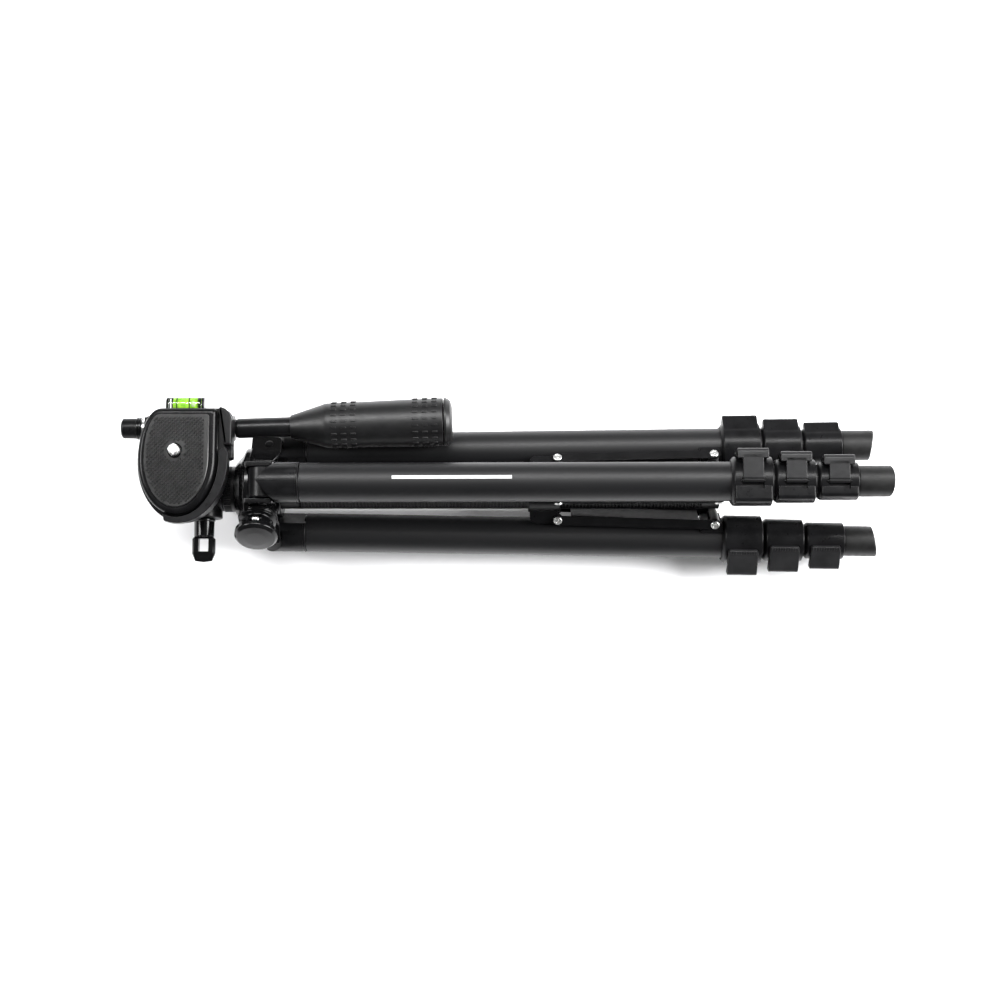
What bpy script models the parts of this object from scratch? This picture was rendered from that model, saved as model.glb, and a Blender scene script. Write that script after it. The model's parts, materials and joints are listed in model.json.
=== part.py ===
"""A four-section aluminium tripod with a three-way pan head, folded and lying on its side.

Frame: +X runs from the head to the feet, +Y across the object, +Z up from the surface it lies on.
The origin is at the middle of the object's footprint. Inside the script every shape is written in
the tripod's own frame, in which the centre column's axis is the X axis, or in a leg's frame, in which
the leg tube's axis is the X axis, +Z points away from the column and +Y goes round it.
"""

import math

import bmesh
import bpy
from mathutils import Matrix, Vector

# ---- driving dimensions, in metres and degrees ----
SIDES = 18  # facets round a tube
FEW_SIDES = 12  # facets round a pin, a boss or a bore
GAP = 0.0003  # clearance between pieces that touch
AXIS_HEIGHT = 0.03825  # centre column's axis above the surface
MIDDLE = (-0.0020, -0.0011)  # moves the folded object's middle to the origin

LEG_ANGLES = (0.0, -120.0, 120.0)  # about the column: top leg, then the two that lie on the surface
LEG_SPLAY = 1.0  # folded legs open slightly towards the feet
HINGE_X = -0.1360  # leg hinge plane along the column
LEG_AXIS_RADIUS = 0.02714  # column axis to leg axis, in the hinge plane
HINGE_DROP = 0.0026  # the hinge lies this much nearer the column than the leg's axis

TUBE_RADII = (0.0113, 0.0099, 0.0085, 0.0071)
TUBE_WALL = 0.0009
TUBE_START = 0.0220  # first tube, from the hinge plane
NEST_START = 0.0400  # first nested tube
NEST_STEP = 0.0060
COLLAR_START = 0.2670
COLLAR_PITCH = 0.0244
COLLAR_LENGTH = 0.0234
COLLAR_RADII = (0.0141, 0.0124, 0.0108)
COLLAR_SEAT = 0.0150  # depth of the collar's socket for its own tube
FOOT_RADIUS = 0.0090
FOOT_END = 0.3602

COLUMN_RADIUS = 0.0115
COLUMN_WALL = 0.0012
COLUMN_X = (-0.1541, 0.1280)
BORE_RADIUS = COLUMN_RADIUS + GAP  # of the pieces that the column slides in

HUB_X = (0.0164, 0.0352)
HUB_PIVOT = (0.0338, 0.0156)  # along the column, and out from its axis
BRACKET_PIVOT = (0.1260, 0.0185)
BRACE_SIDE = (0.0096, 0.0104)  # each flat strip's inner and outer face, from the leg's middle plane
BRACE_END_RADIUS = 0.0029
LUG_HALF_WIDTH = 0.0084

TILT_AXIS = (-0.1730, 0.0)  # X and Z; the axis runs along Y
FLIP_AXIS = (0.0340, 0.0120)  # Y and Z; the axis runs along X
HANDLE_SLOPE = 0.0328  # rise in Y for each unit of X
HANDLE_START = -0.1540
SCREW_AT = (-0.1848, 0.0171)  # camera screw, X and Y
PLATE_BASE = 0.0298
PLATE_TOP = 0.0365
PAD_TOP = 0.0380
SLAB_Z = (0.0220, 0.0295)  # the platform under the plate
VIAL_AT = (0.0454, 0.0250)  # bubble level, Y and Z
QR_PIVOT = (-0.1563, 0.0164)
PAN_KNOB_X = -0.1687


# ---- modelling helpers ----
def clear_scene():
    for obj in list(bpy.data.objects):
        bpy.data.objects.remove(obj, do_unlink=True)


def new_collection(name):
    collection = bpy.data.collections.new(name)
    bpy.context.scene.collection.children.link(collection)
    return collection


def shape_from(bm):
    """Turn a bmesh into a loose working object with outward normals."""
    bmesh.ops.recalc_face_normals(bm, faces=bm.faces)
    mesh = bpy.data.meshes.new("shape")
    bm.to_mesh(mesh)
    bm.free()
    obj = bpy.data.objects.new("shape", mesh)
    workshop.objects.link(obj)
    return obj


def settle(obj, matrix=None):
    """Apply an object's modifiers, and a move if one is given, and weld the result."""
    bpy.context.view_layer.update()
    graph = bpy.context.evaluated_depsgraph_get()
    mesh = bpy.data.meshes.new_from_object(obj.evaluated_get(graph))
    bm = bmesh.new()
    bm.from_mesh(mesh)
    bmesh.ops.remove_doubles(bm, verts=bm.verts, dist=0.000002)
    if matrix is not None:
        bmesh.ops.transform(bm, matrix=matrix, verts=bm.verts)
    bpy.data.meshes.remove(mesh)
    bpy.data.objects.remove(obj)
    return shape_from(bm)


def block(low, high, bevel=0.0):
    """A box between two corners, with its edges rounded if asked."""
    low, high = Vector(low), Vector(high)
    bm = bmesh.new()
    bmesh.ops.create_cube(bm, size=1.0)
    placed = Matrix.Translation((low + high) / 2) @ Matrix.Diagonal((*(high - low), 1.0))
    bmesh.ops.transform(bm, matrix=placed, verts=bm.verts)
    if bevel:
        bmesh.ops.bevel(bm, geom=bm.edges[:], offset=bevel, segments=1, affect="EDGES")
    return shape_from(bm)


def rod(start, end, radius, end_radius=None, sides=SIDES):
    """A cylinder or cone from one point to another."""
    start, end = Vector(start), Vector(end)
    along = end - start
    placed = Matrix.Translation((start + end) / 2) @ along.to_track_quat("Z", "Y").to_matrix().to_4x4()
    bm = bmesh.new()
    bmesh.ops.create_cone(
        bm,
        cap_ends=True,
        segments=sides,
        radius1=radius,
        radius2=radius if end_radius is None else end_radius,
        depth=along.length,
        matrix=placed,
    )
    return shape_from(bm)


def turned(profile, sides=SIDES):
    """A solid turned about X from (place along X, radius) points.

    A profile that starts and ends on the axis is solid; any other is closed into a ring.
    """
    bm = bmesh.new()
    points = [bm.verts.new((radius, 0.0, along)) for along, radius in profile]
    for first, second in zip(points, points[1:]):
        bm.edges.new((first, second))
    if profile[0][1] > 0 or profile[-1][1] > 0:
        bm.edges.new((points[-1], points[0]))
    obj = shape_from(bm)
    screw = obj.modifiers.new("turn", "SCREW")
    screw.angle = math.tau
    screw.steps = sides
    screw.render_steps = sides
    screw.use_merge_vertices = True
    screw.merge_threshold = 0.00001
    return settle(obj, Matrix.Rotation(math.pi / 2, 4, "Y"))


def prism(outline, low, high, along="Z"):
    """A flat outline, given in the two other axes, extruded from low to high along one axis."""
    curve = bpy.data.curves.new("outline", "CURVE")
    curve.dimensions = "2D"
    curve.fill_mode = "BOTH"
    curve.extrude = (high - low) / 2
    spline = curve.splines.new("POLY")
    spline.points.add(len(outline) - 1)
    for point, (a, b) in zip(spline.points, outline):
        point.co = (a, b, 0.0, 1.0)
    spline.use_cyclic_u = True
    obj = bpy.data.objects.new("outline", curve)
    workshop.objects.link(obj)
    columns = {"Z": ((1, 0, 0), (0, 1, 0), (0, 0, 1)), "Y": ((1, 0, 0), (0, 0, 1), (0, 1, 0))}
    columns["X"] = ((0, 0, 1), (1, 0, 0), (0, 1, 0))
    turn = Matrix([list(row) for row in columns[along]]).to_4x4()
    lift = Matrix.Translation((0.0, 0.0, (low + high) / 2))
    return settle(obj, turn @ lift)


def arc(centre, radii, start, end, steps):
    """Points along an elliptical arc, angles in degrees."""
    points = []
    for step in range(steps + 1):
        angle = math.radians(start + (end - start) * step / steps)
        x = centre[0] + radii[0] * math.cos(angle)
        points.append((x, centre[1] + radii[1] * math.sin(angle)))
    return points


def combine(operation, target, others):
    """Join, cut or intersect a shape with others, which it uses up."""
    for other in others:
        modifier = target.modifiers.new(operation.lower(), "BOOLEAN")
        modifier.operation = operation
        modifier.solver = "EXACT"
        modifier.object = other
    result = settle(target)
    for other in others:
        bpy.data.objects.remove(other)
    return result


def join(target, *others):
    return combine("UNION", target, others)


def cut(target, *others):
    return combine("DIFFERENCE", target, others)


def keep(target, *others):
    return combine("INTERSECT", target, others)


def about_column(obj, angle):
    """Turn a shape made for the top leg to another leg's side of the column."""
    return settle(obj, Matrix.Rotation(math.radians(-angle), 4, "X"))


# ---- materials ----
def finish(name, colour, roughness, metallic=0.0):
    material = bpy.data.materials.new(name)
    material.use_nodes = True
    shader = material.node_tree.nodes["Principled BSDF"]
    shader.inputs["Base Color"].default_value = (*colour, 1.0)
    shader.inputs["Roughness"].default_value = roughness
    shader.inputs["Metallic"].default_value = metallic
    return material


# ---- placing parts ----
def joint_frame(name, parent=None, at=(0.0, 0.0, 0.0), turn=(0.0, 0.0, 0.0)):
    """An empty on a joint's axis, for the pieces that move about it."""
    empty = bpy.data.objects.new(name, None)
    empty.location = at
    empty.rotation_euler = turn
    empty.parent = parent
    parts.objects.link(empty)
    return empty


def part(name, mesh, material, frame, frame_at=(0.0, 0.0, 0.0)):
    """Add a named piece. frame_at is where its parent empty sits in the coordinates of the mesh."""
    obj = bpy.data.objects.new(name, mesh)
    obj.parent = frame
    obj.location = -Vector(frame_at)
    obj.data.materials.clear()
    obj.data.materials.append(material)
    parts.objects.link(obj)
    return obj


def mesh_of(shape, name):
    """Take a finished shape's mesh, smooth its round faces, and remove the working object."""
    mesh = shape.data
    mesh.name = name
    mesh.shade_smooth()
    mesh.set_sharp_from_angle(angle=math.radians(35))
    bpy.data.objects.remove(shape)
    return mesh


# ---- leg pieces, in the leg's frame ----
def leg_top_casting():
    """Pointed casting that carries the tube and hangs in the crown's ears."""
    hinge = (0.0, 0.0, -HINGE_DROP)
    half, shoulder = 0.01165, 0.0100
    end = TUBE_START - GAP
    outline = [(-0.0023, 0.0012), (-0.0023, -0.0012), (0.0036, -0.0073), (shoulder, -half), (end, -half)]
    outline += [(end, half), (shoulder, half), (0.0036, 0.0073)]
    body = keep(prism(outline, -0.0090, 0.0130), rod((-0.01, 0, 0), (0.03, 0, 0), half))
    for side in (-1, 1):
        ear_room = rod((0, side * 0.0088, hinge[2]), (0, side * 0.0140, hinge[2]), 0.0077, sides=FEW_SIDES)
        body = cut(body, ear_room)
    knuckle = rod((0, -0.0087, hinge[2]), (0, 0.0087, hinge[2]), 0.0070, sides=FEW_SIDES)
    plug = rod((end - 0.002, 0, 0), (0.0390, 0, 0), TUBE_RADII[0] - TUBE_WALL - GAP)
    return join(body, knuckle, plug)


def tube(index):
    """One leg section; the nested ones start inside the section above and end in their own collar."""
    outer = TUBE_RADII[index]
    inner = outer - TUBE_WALL
    start = TUBE_START if index == 0 else NEST_START + NEST_STEP * index
    end = FOOT_END - 0.0102 if index == 3 else COLLAR_START + COLLAR_PITCH * index + COLLAR_SEAT - GAP
    return turned([(end, outer), (start, outer), (start, inner), (end, inner)])


def collar(index):
    """Lock housing: a ring on one tube that the next tube slides through, with the lever's block."""
    start = COLLAR_START + COLLAR_PITCH * index
    end = start + COLLAR_LENGTH
    outer = COLLAR_RADII[index]
    socket = TUBE_RADII[index] + GAP
    guide = TUBE_RADII[index + 1] + GAP
    seat = start + COLLAR_SEAT
    chamfer = 0.0012
    profile = [(end, guide), (end, outer), (start + chamfer, outer), (start, outer - chamfer)]
    profile += [(start, socket), (seat, socket), (seat, guide)]
    body = turned(profile)
    lug = block((start + 0.0015, 0.0003 - outer, 0.0), (end - 0.001, -0.0042, outer + 0.0004))
    lug = cut(lug, rod((start - 0.01, 0, 0), (end + 0.01, 0, 0), (outer + socket) / 2))
    middle = (start + end) / 2
    slot = block((middle - 0.0061, -0.0042, outer - 0.0016), (middle + 0.0061, 0.0003, outer + 0.003))
    return cut(join(body, lug), slot)


def lever_pin(index):
    return (0.0, -0.0014, COLLAR_RADII[index] - 0.0001)


def lever(index):
    """Flip lever: a hooked stem over the collar and a thumb tab down its side."""
    start = COLLAR_START + COLLAR_PITCH * index
    middle = start + COLLAR_LENGTH / 2
    outer = COLLAR_RADII[index]
    low, high = outer + 0.0004, outer + 0.0024
    pin = lever_pin(index)
    half_stem, half_tab = 0.00575, 0.00875
    barrel = rod((middle - half_stem, pin[1], pin[2]), (middle + half_stem, pin[1], pin[2]), 0.0012, sides=8)
    heel = block((middle - half_stem, pin[1] - 0.0002, pin[2]), (middle + half_stem, 0.0, high - 0.0006))
    stem = block((middle - half_stem, pin[1] + 0.0006, low), (middle + half_stem, outer + 0.001, high))
    reach = 0.0 if index == 0 else -0.002
    corner = outer + 0.0029
    tab_outline = [(outer + 0.0004, reach), (corner - 0.0008, reach), (corner, reach + 0.0010)]
    tab_outline += [(corner, high - 0.0016), (corner - 0.0016, high), (outer - 0.0030, high)]
    tab_outline += [(outer - 0.0030, low), (outer + 0.0004, low)]
    tab = prism(tab_outline, middle - half_tab, middle + half_tab, "X")
    return join(tab, stem, heel, barrel)


def foot():
    """Rubber foot pushed over the last tube."""
    start = COLLAR_START + 2 * COLLAR_PITCH + COLLAR_LENGTH + GAP
    socket = TUBE_RADII[3] + GAP
    depth = FOOT_END - 0.0098
    profile = [(FOOT_END, 0.0), (FOOT_END - 0.0006, 0.0045), (FOOT_END - 0.0022, 0.0080)]
    profile += [(FOOT_END - 0.0050, FOOT_RADIUS), (start, FOOT_RADIUS)]
    profile += [(start, socket), (depth, socket), (depth, 0.0)]
    return turned(profile)


def brace_bracket():
    """Saddle under the first tube, with the lug that the brace forks over."""
    pivot = bracket_pivot_in_leg()
    start, end = pivot[0] - 0.0080, COLLAR_START - GAP
    inner = TUBE_RADII[0] + GAP
    saddle = turned([(end, inner + 0.0012), (start, inner + 0.0012), (start, inner), (end, inner)])
    saddle = keep(saddle, block((start - 0.01, -0.0090, -0.02), (end + 0.01, 0.0090, -0.0040)))
    lug = block((start + 0.0006, -LUG_HALF_WIDTH, pivot[2]), (pivot[0], LUG_HALF_WIDTH, -0.0070))
    boss = rod((pivot[0], -LUG_HALF_WIDTH, pivot[2]), (pivot[0], LUG_HALF_WIDTH, pivot[2]), 0.0032)
    neck = block((pivot[0] - 0.003, -LUG_HALF_WIDTH, pivot[2]), (end - 0.0006, LUG_HALF_WIDTH, -0.0070))
    lug = join(lug, boss, neck)
    lug = cut(lug, rod((start - 0.01, 0, 0), (end + 0.01, 0, 0), inner + 0.0004))
    return join(saddle, lug)


def bracket_pivot_in_leg():
    """The brace's pivot on the leg, in the leg's frame."""
    splay = math.radians(LEG_SPLAY)
    along = BRACKET_PIVOT[0] - HINGE_X
    out = BRACKET_PIVOT[1] - LEG_AXIS_RADIUS
    turn = (math.cos(splay), math.sin(splay))
    return (along * turn[0] + out * turn[1], 0.0, out * turn[0] - along * turn[1])


# ---- pieces about the column, in the tripod's frame ----
def brace():
    """Flat-strip fork from the hub to the top leg, open at both ends, with its rivets."""
    start, end = Vector((HUB_PIVOT[0], HUB_PIVOT[1])), Vector(BRACKET_PIVOT)
    along = (end - start).normalized()
    slope = math.degrees(math.atan2(along.y, along.x))
    outline = arc(start, (BRACE_END_RADIUS,) * 2, slope + 90, slope + 270, 6)
    outline += arc(end, (BRACE_END_RADIUS,) * 2, slope - 90, slope + 90, 6)
    inner, outer = BRACE_SIDE
    strips = []
    for side in (-1, 1):
        strip = prism(outline, min(side * inner, side * outer), max(side * inner, side * outer), "Y")
        rivets = []
        for pivot in (start, end):
            face = side * (outer - 0.0002)
            rivets.append(rod((pivot.x, face, pivot.y), (pivot.x, side * 0.0113, pivot.y), 0.0024, 0.0019, 8))
        strips.append(join(strip, *rivets))
    web_from, web_to = start + along * 0.0170, start + along * 0.0600
    across = Vector((-along.y, along.x))
    low, high = across * -0.0014, across * -0.0002
    corners = [web_from + low, web_to + low, web_to + high, web_from + high]
    web = prism([tuple(corner) for corner in corners], -inner - 0.0004, inner + 0.0004, "Y")
    return join(strips[0], web, strips[1])


def crown():
    """Shoulder casting: column bore, three pairs of ears for the legs, and the crank's boss."""
    back, shoulder_end, front = -0.1544 + GAP, -0.1445, -0.1274
    core = 0.0165
    profile = [(front, BORE_RADIUS), (front, core), (shoulder_end, core), (shoulder_end, 0.0240)]
    profile += [(-0.1475, 0.0240), (-0.1505, 0.0190), (back, 0.0150), (back, BORE_RADIUS)]
    body = turned(profile)
    hinge_z = LEG_AXIS_RADIUS - HINGE_DROP
    ear_outline = [(-0.1465, 0.0118), (HINGE_X + 0.0020, 0.0118)]
    ear_outline += arc((HINGE_X, hinge_z), (0.0072, 0.0072), -60, 120, 6)
    ear_outline += [(-0.1465, hinge_z + 0.0062)]
    for angle in LEG_ANGLES:
        for side in (-1, 1):
            low, high = sorted((side * 0.0091, side * 0.0120))
            body = join(body, about_column(prism(ear_outline, low, high, "Y"), angle))
    out = Vector(crank_direction())
    at = Vector((-0.1404, 0.0, 0.0))
    boss = rod(at + out * 0.0130, at + out * 0.0225, 0.0114, 0.0110)
    body = join(body, boss)
    crank_room = rod(at + out * 0.0225, at + out * 0.0500, 0.0128)
    shaft_bore = rod(at + out * 0.0100, at + out * 0.0300, 0.0034, sides=FEW_SIDES)
    return cut(body, shaft_bore, crank_room)


def crank_direction():
    """Unit vector along the crank's shaft, between the top leg and the second leg."""
    angle = math.radians(-60.0)
    return (0.0, math.sin(angle), math.cos(angle))


def crank():
    """Column crank: shaft, waisted hub and round face."""
    profile = [(0.0370, 0.0), (0.0370, 0.0105), (0.0355, 0.0125), (0.0315, 0.0125), (0.0300, 0.0090)]
    profile += [(0.0245, 0.0090), (0.0235, 0.0110), (0.0228, 0.0110), (0.0228, 0.0030)]
    profile += [(0.0125, 0.0030), (0.0125, 0.0)]
    turn = Vector(crank_direction()).to_track_quat("X", "Z").to_matrix().to_4x4()
    return settle(turned(profile), Matrix.Translation((-0.1404, 0.0, 0.0)) @ turn)


def column():
    start, end = COLUMN_X
    inner = COLUMN_RADIUS - COLUMN_WALL
    return turned([(end, COLUMN_RADIUS), (start, COLUMN_RADIUS), (start, inner), (end, inner)])


def spreader_hub():
    """Sliding collar on the column with two cheeks for each brace."""
    start, end = HUB_X
    body = turned([(end, BORE_RADIUS), (end, 0.0126), (start, 0.0126), (start, BORE_RADIUS)])
    lug_outline = [(start + 0.0010, 0.0092), (HUB_PIVOT[0] - 0.0005, 0.0092)]
    lug_outline += arc(HUB_PIVOT, (0.0028, 0.0028), -90, 90, 6) + [(start + 0.0010, 0.0184)]
    for angle in LEG_ANGLES:
        for side in (-1, 1):
            low, high = sorted((side * 0.0058, side * LUG_HALF_WIDTH))
            body = join(body, about_column(prism(lug_outline, low, high, "Y"), angle))
    return cut(body, rod((0, 0, 0), (0.1, 0, 0), BORE_RADIUS - 0.00005))


# ---- head pieces, in the tripod's frame ----
def pan_base():
    """Scale ring on top of the column, with its plug and the head's spigot."""
    back, front = -0.1614, -0.1544
    plug = COLUMN_RADIUS - COLUMN_WALL - GAP
    profile = [(-0.1400, 0.0), (-0.1400, plug), (front, plug), (front, 0.0134), (back, 0.0134)]
    profile += [(back, 0.0060), (-0.1660, 0.0060), (-0.1660, 0.0)]
    return turned(profile)


def pan_body():
    """Neck that turns on the pan base and carries the barrel of the tilt hinge."""
    tilt_x, tilt_z = TILT_AXIS
    front = -0.1614 - GAP
    neck = rod((tilt_x, 0, 0), (front, 0, 0), 0.0130)
    barrel = rod((tilt_x, -0.0174, tilt_z), (tilt_x, 0.0150, tilt_z), 0.0105)
    boss = rod((PAN_KNOB_X, 0, -0.0080), (PAN_KNOB_X, 0, -0.0175), 0.0062)
    body = join(neck, barrel, boss)
    spigot_bore = rod((-0.1663, 0, 0), (front + 0.01, 0, 0), 0.0063)
    tilt_bore = rod((tilt_x, -0.03, tilt_z), (tilt_x, 0.03, tilt_z), 0.0034, sides=FEW_SIDES)
    knob_bore = rod((PAN_KNOB_X, 0, -0.0090), (PAN_KNOB_X, 0, -0.0300), 0.0029, sides=FEW_SIDES)
    return cut(body, spigot_bore, tilt_bore, knob_bore)


def pan_lock_knob():
    """Lobed knob under the neck; its end is flat."""
    top, bottom, radius = -0.0185, -0.0380, 0.0070
    knob = rod((PAN_KNOB_X, 0, top), (PAN_KNOB_X, 0, bottom), radius)
    for step in range(6):
        angle = math.radians(60 * step + 30)
        x, y = PAN_KNOB_X + 0.0079 * math.cos(angle), 0.0079 * math.sin(angle)
        knob = cut(knob, rod((x, y, top - 0.0020), (x, y, bottom - 0.001), 0.0022, sides=12))
    stem = rod((PAN_KNOB_X, 0, top - 0.001), (PAN_KNOB_X, 0, -0.0100), 0.0025, sides=FEW_SIDES)
    return join(knob, stem)


def tilt_lock_knob():
    """Knob with an open paddle grip and the shaft that clamps the tilt hinge."""
    x, z = TILT_AXIS
    cap = rod((x, -0.0284, z), (x, -0.0177, z), 0.0057, 0.0064)
    shaft = rod((x, -0.0190, z), (x, 0.0200, z), 0.0030, sides=FEW_SIDES)
    paddle = block((x - 0.00665, -0.0431, z - 0.0024), (x + 0.00665, -0.0275, z + 0.0024), 0.0010)
    window = block((x - 0.00295, -0.0400, z - 0.01), (x + 0.00295, -0.0312, z + 0.01))
    return join(cut(paddle, window), cap, shaft)


def tilt_block():
    """Side arm on the tilt shaft, carrying the barrel of the flip hinge."""
    x, z = TILT_AXIS
    flip_y, flip_z = FLIP_AXIS
    disc = rod((x, 0.0153, z), (x, 0.0260, z), 0.0112)
    web_outline = [(-0.1842, -0.0060), (-0.1656, -0.0060), (-0.1656, 0.0180), (-0.1842, 0.0180)]
    web = prism(web_outline, 0.0185, flip_y, "Y")
    barrel = rod((-0.1880, flip_y, flip_z), (-0.1652, flip_y, flip_z), 0.0080)
    body = join(disc, web, barrel)
    shaft_bore = rod((x, 0.0, z), (x, 0.0204, z), 0.0034, sides=FEW_SIDES)
    flip_bore = rod((-0.25, flip_y, flip_z), (-0.10, flip_y, flip_z), 0.0034, sides=FEW_SIDES)
    return cut(body, shaft_bore, flip_bore)


def plate_outline(grow=0.0):
    """Egg-shaped plate edge: a straight top and right side, and an elliptical bottom and left."""
    left, right, top, waist, bottom = -0.2068 - grow, -0.1611 + grow, 0.0425 + grow, 0.0130, -0.0198 - grow
    middle = (left + right) / 2
    corner = max(0.0030 + grow, 0.0015)
    points = arc((right - corner, top - corner), (corner, corner), 0, 90, 3)
    shoulder = -0.1936
    points += arc((shoulder, waist), (shoulder - left, top - waist), 90, 180, 8)
    return points + arc((middle, waist), (right - middle, waist - bottom), 180, 360, 18)[1:]


def quick_release_plate():
    """Camera plate with the recess for the screw's head."""
    x, y = SCREW_AT
    plate = prism(plate_outline(), PLATE_BASE, PLATE_TOP)
    hole = rod((x, y, PLATE_BASE - 0.01), (x, y, PLATE_TOP + 0.01), 0.0035)
    recess = rod((x, y, PLATE_BASE - 0.01), (x, y, PLATE_BASE + 0.0030), 0.0082)
    return cut(plate, hole, recess)


def plate_pad():
    """Rubber pad on the plate."""
    x, y = SCREW_AT
    pad = prism(plate_outline(-0.0045), PLATE_TOP + GAP, PAD_TOP)
    return cut(pad, rod((x, y, PLATE_TOP - 0.01), (x, y, PAD_TOP + 0.01), 0.0044))


def camera_screw():
    """Quarter-inch screw with a flat head under the plate."""
    x, y = SCREW_AT
    shank = rod((x, y, PLATE_BASE + 0.0010), (x, y, PAD_TOP + 0.0042), 0.003175, sides=FEW_SIDES)
    tip = rod((x, y, PAD_TOP + 0.0040), (x, y, PAD_TOP + 0.0049), 0.003175, 0.0024, sides=FEW_SIDES)
    head = rod((x, y, PLATE_BASE + 0.0006), (x, y, PLATE_BASE + 0.0026), 0.0075)
    screw = join(head, shank, tip)
    top = PAD_TOP + 0.0049
    return cut(screw, block((x - 0.0006, y - 0.005, top - 0.0012), (x + 0.0006, y + 0.005, top + 0.002)))


def platform():
    """Seat for the plate, with hinge knuckles below, a raised end block and the level's cradle."""
    flip_y, flip_z = FLIP_AXIS
    low, high = SLAB_Z
    right = -0.1530
    outline = [(right, 0.0140), (right, 0.0395)] + arc((right - 0.004, 0.0395), (0.004, 0.0035), 30, 90, 2)
    outline += [(-0.1680, 0.0430), (-0.1690, 0.0395), (-0.1930, 0.0395)]
    outline += arc((-0.1936, 0.0130), (0.0139, 0.0265), 90, 180, 8)[1:]
    outline += arc((-0.1815, 0.0130), (0.0260, 0.0360), 180, 360, 18)[1:]
    slab = prism(outline, low, high)
    wall = block((-0.1605, 0.0206, high - 0.002), (right, 0.0425, 0.0352), 0.0012)
    knuckles = []
    for start, end in ((-0.2055, -0.1883), (-0.1649, -0.1543)):
        barrel = rod((start, flip_y, flip_z), (end, flip_y, flip_z), 0.0074)
        neck = block((start, flip_y - 0.0060, flip_z), (end, flip_y + 0.0050, low + 0.001))
        knuckles.append(join(barrel, neck))
    cradle = block((-0.1900, 0.0360, 0.0190), (-0.1720, 0.0480, low + 0.001))
    body = join(slab, wall, *knuckles)
    body = join(body, cradle)
    vial_room = rod((-0.25, *VIAL_AT), (-0.10, *VIAL_AT), 0.0053)
    vial_room = keep(vial_room, block((-0.1935, 0.0, 0.0), (-0.1685, 0.1, 0.1)))
    shaft_room = rod((-0.25, flip_y, flip_z), (-0.10, flip_y, flip_z), 0.0034, sides=FEW_SIDES)
    arm_room = rod((-0.1883, flip_y, flip_z), (-0.1649, flip_y, flip_z), 0.0084)
    return cut(body, vial_room, shaft_room, arm_room)


def bubble_level():
    """Glass vial with its end caps."""
    y, z = VIAL_AT
    caps = turned([(-0.1704, 0.0), (-0.1700, 0.0044), (-0.1710, 0.0050), (-0.1910, 0.0050), (-0.1920, 0.0044),
                   (-0.1916, 0.0)])
    return settle(caps, Matrix.Translation((0.0, y, z)))


def qr_lever():
    """Curved release lever that hugs the plate's right and lower edge."""
    waist, middle = 0.0130, -0.18395
    inner = arc((middle, waist), (0.0237, 0.0336), 0, -108, 12)
    outer = arc((middle + 0.0012, waist), (0.0278, 0.0372), -106, 0, 12)
    band = prism(inner + outer, SLAB_Z[1] + GAP, 0.0350)
    boss = rod((*QR_PIVOT, SLAB_Z[1] + GAP), (*QR_PIVOT, 0.0350), 0.0036, sides=FEW_SIDES)
    return join(band, boss)


def along_handle(shape):
    """Move a shape turned about X onto the handle's slightly sloped axis."""
    slope = Matrix.Rotation(math.atan(HANDLE_SLOPE), 4, "Z")
    at = Matrix.Translation((HANDLE_START, *FLIP_AXIS))
    return settle(shape, at @ slope)


def handle_rod():
    """Plated rod; its reduced end screws into the flip hinge."""
    profile = [(0.0540, 0.0), (0.0540, 0.0058), (0.0003, 0.0058), (0.0003, 0.0029), (-0.0090, 0.0029)]
    return along_handle(turned(profile + [(-0.0090, 0.0)]))


def handle_grip():
    """Rubber grip that swells from a cone to its rounded end."""
    bore, bore_end = 0.0061, 0.0545
    profile = [(0.1263, 0.0), (0.1263, 0.0090), (0.1251, 0.0126), (0.1219, 0.01405), (0.1160, 0.0140)]
    profile += [(0.0530, 0.01305), (0.0322, 0.0066), (0.0322, bore), (bore_end, bore), (bore_end, 0.0)]
    return along_handle(turned(profile))


def flip_lock_knob():
    """Lock knob on the front end of the flip hinge."""
    profile = [(-0.1960, 0.0), (-0.1960, 0.0030), (-0.2058, 0.0030), (-0.2058, 0.0050), (-0.2082, 0.0050)]
    profile += [(-0.2082, 0.0066), (-0.2112, 0.0066), (-0.2117, 0.0060), (-0.2190, 0.0060), (-0.2202, 0.0048)]
    shape = turned(profile + [(-0.2202, 0.0)])
    return settle(shape, Matrix.Translation((0.0, *FLIP_AXIS)))


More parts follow.
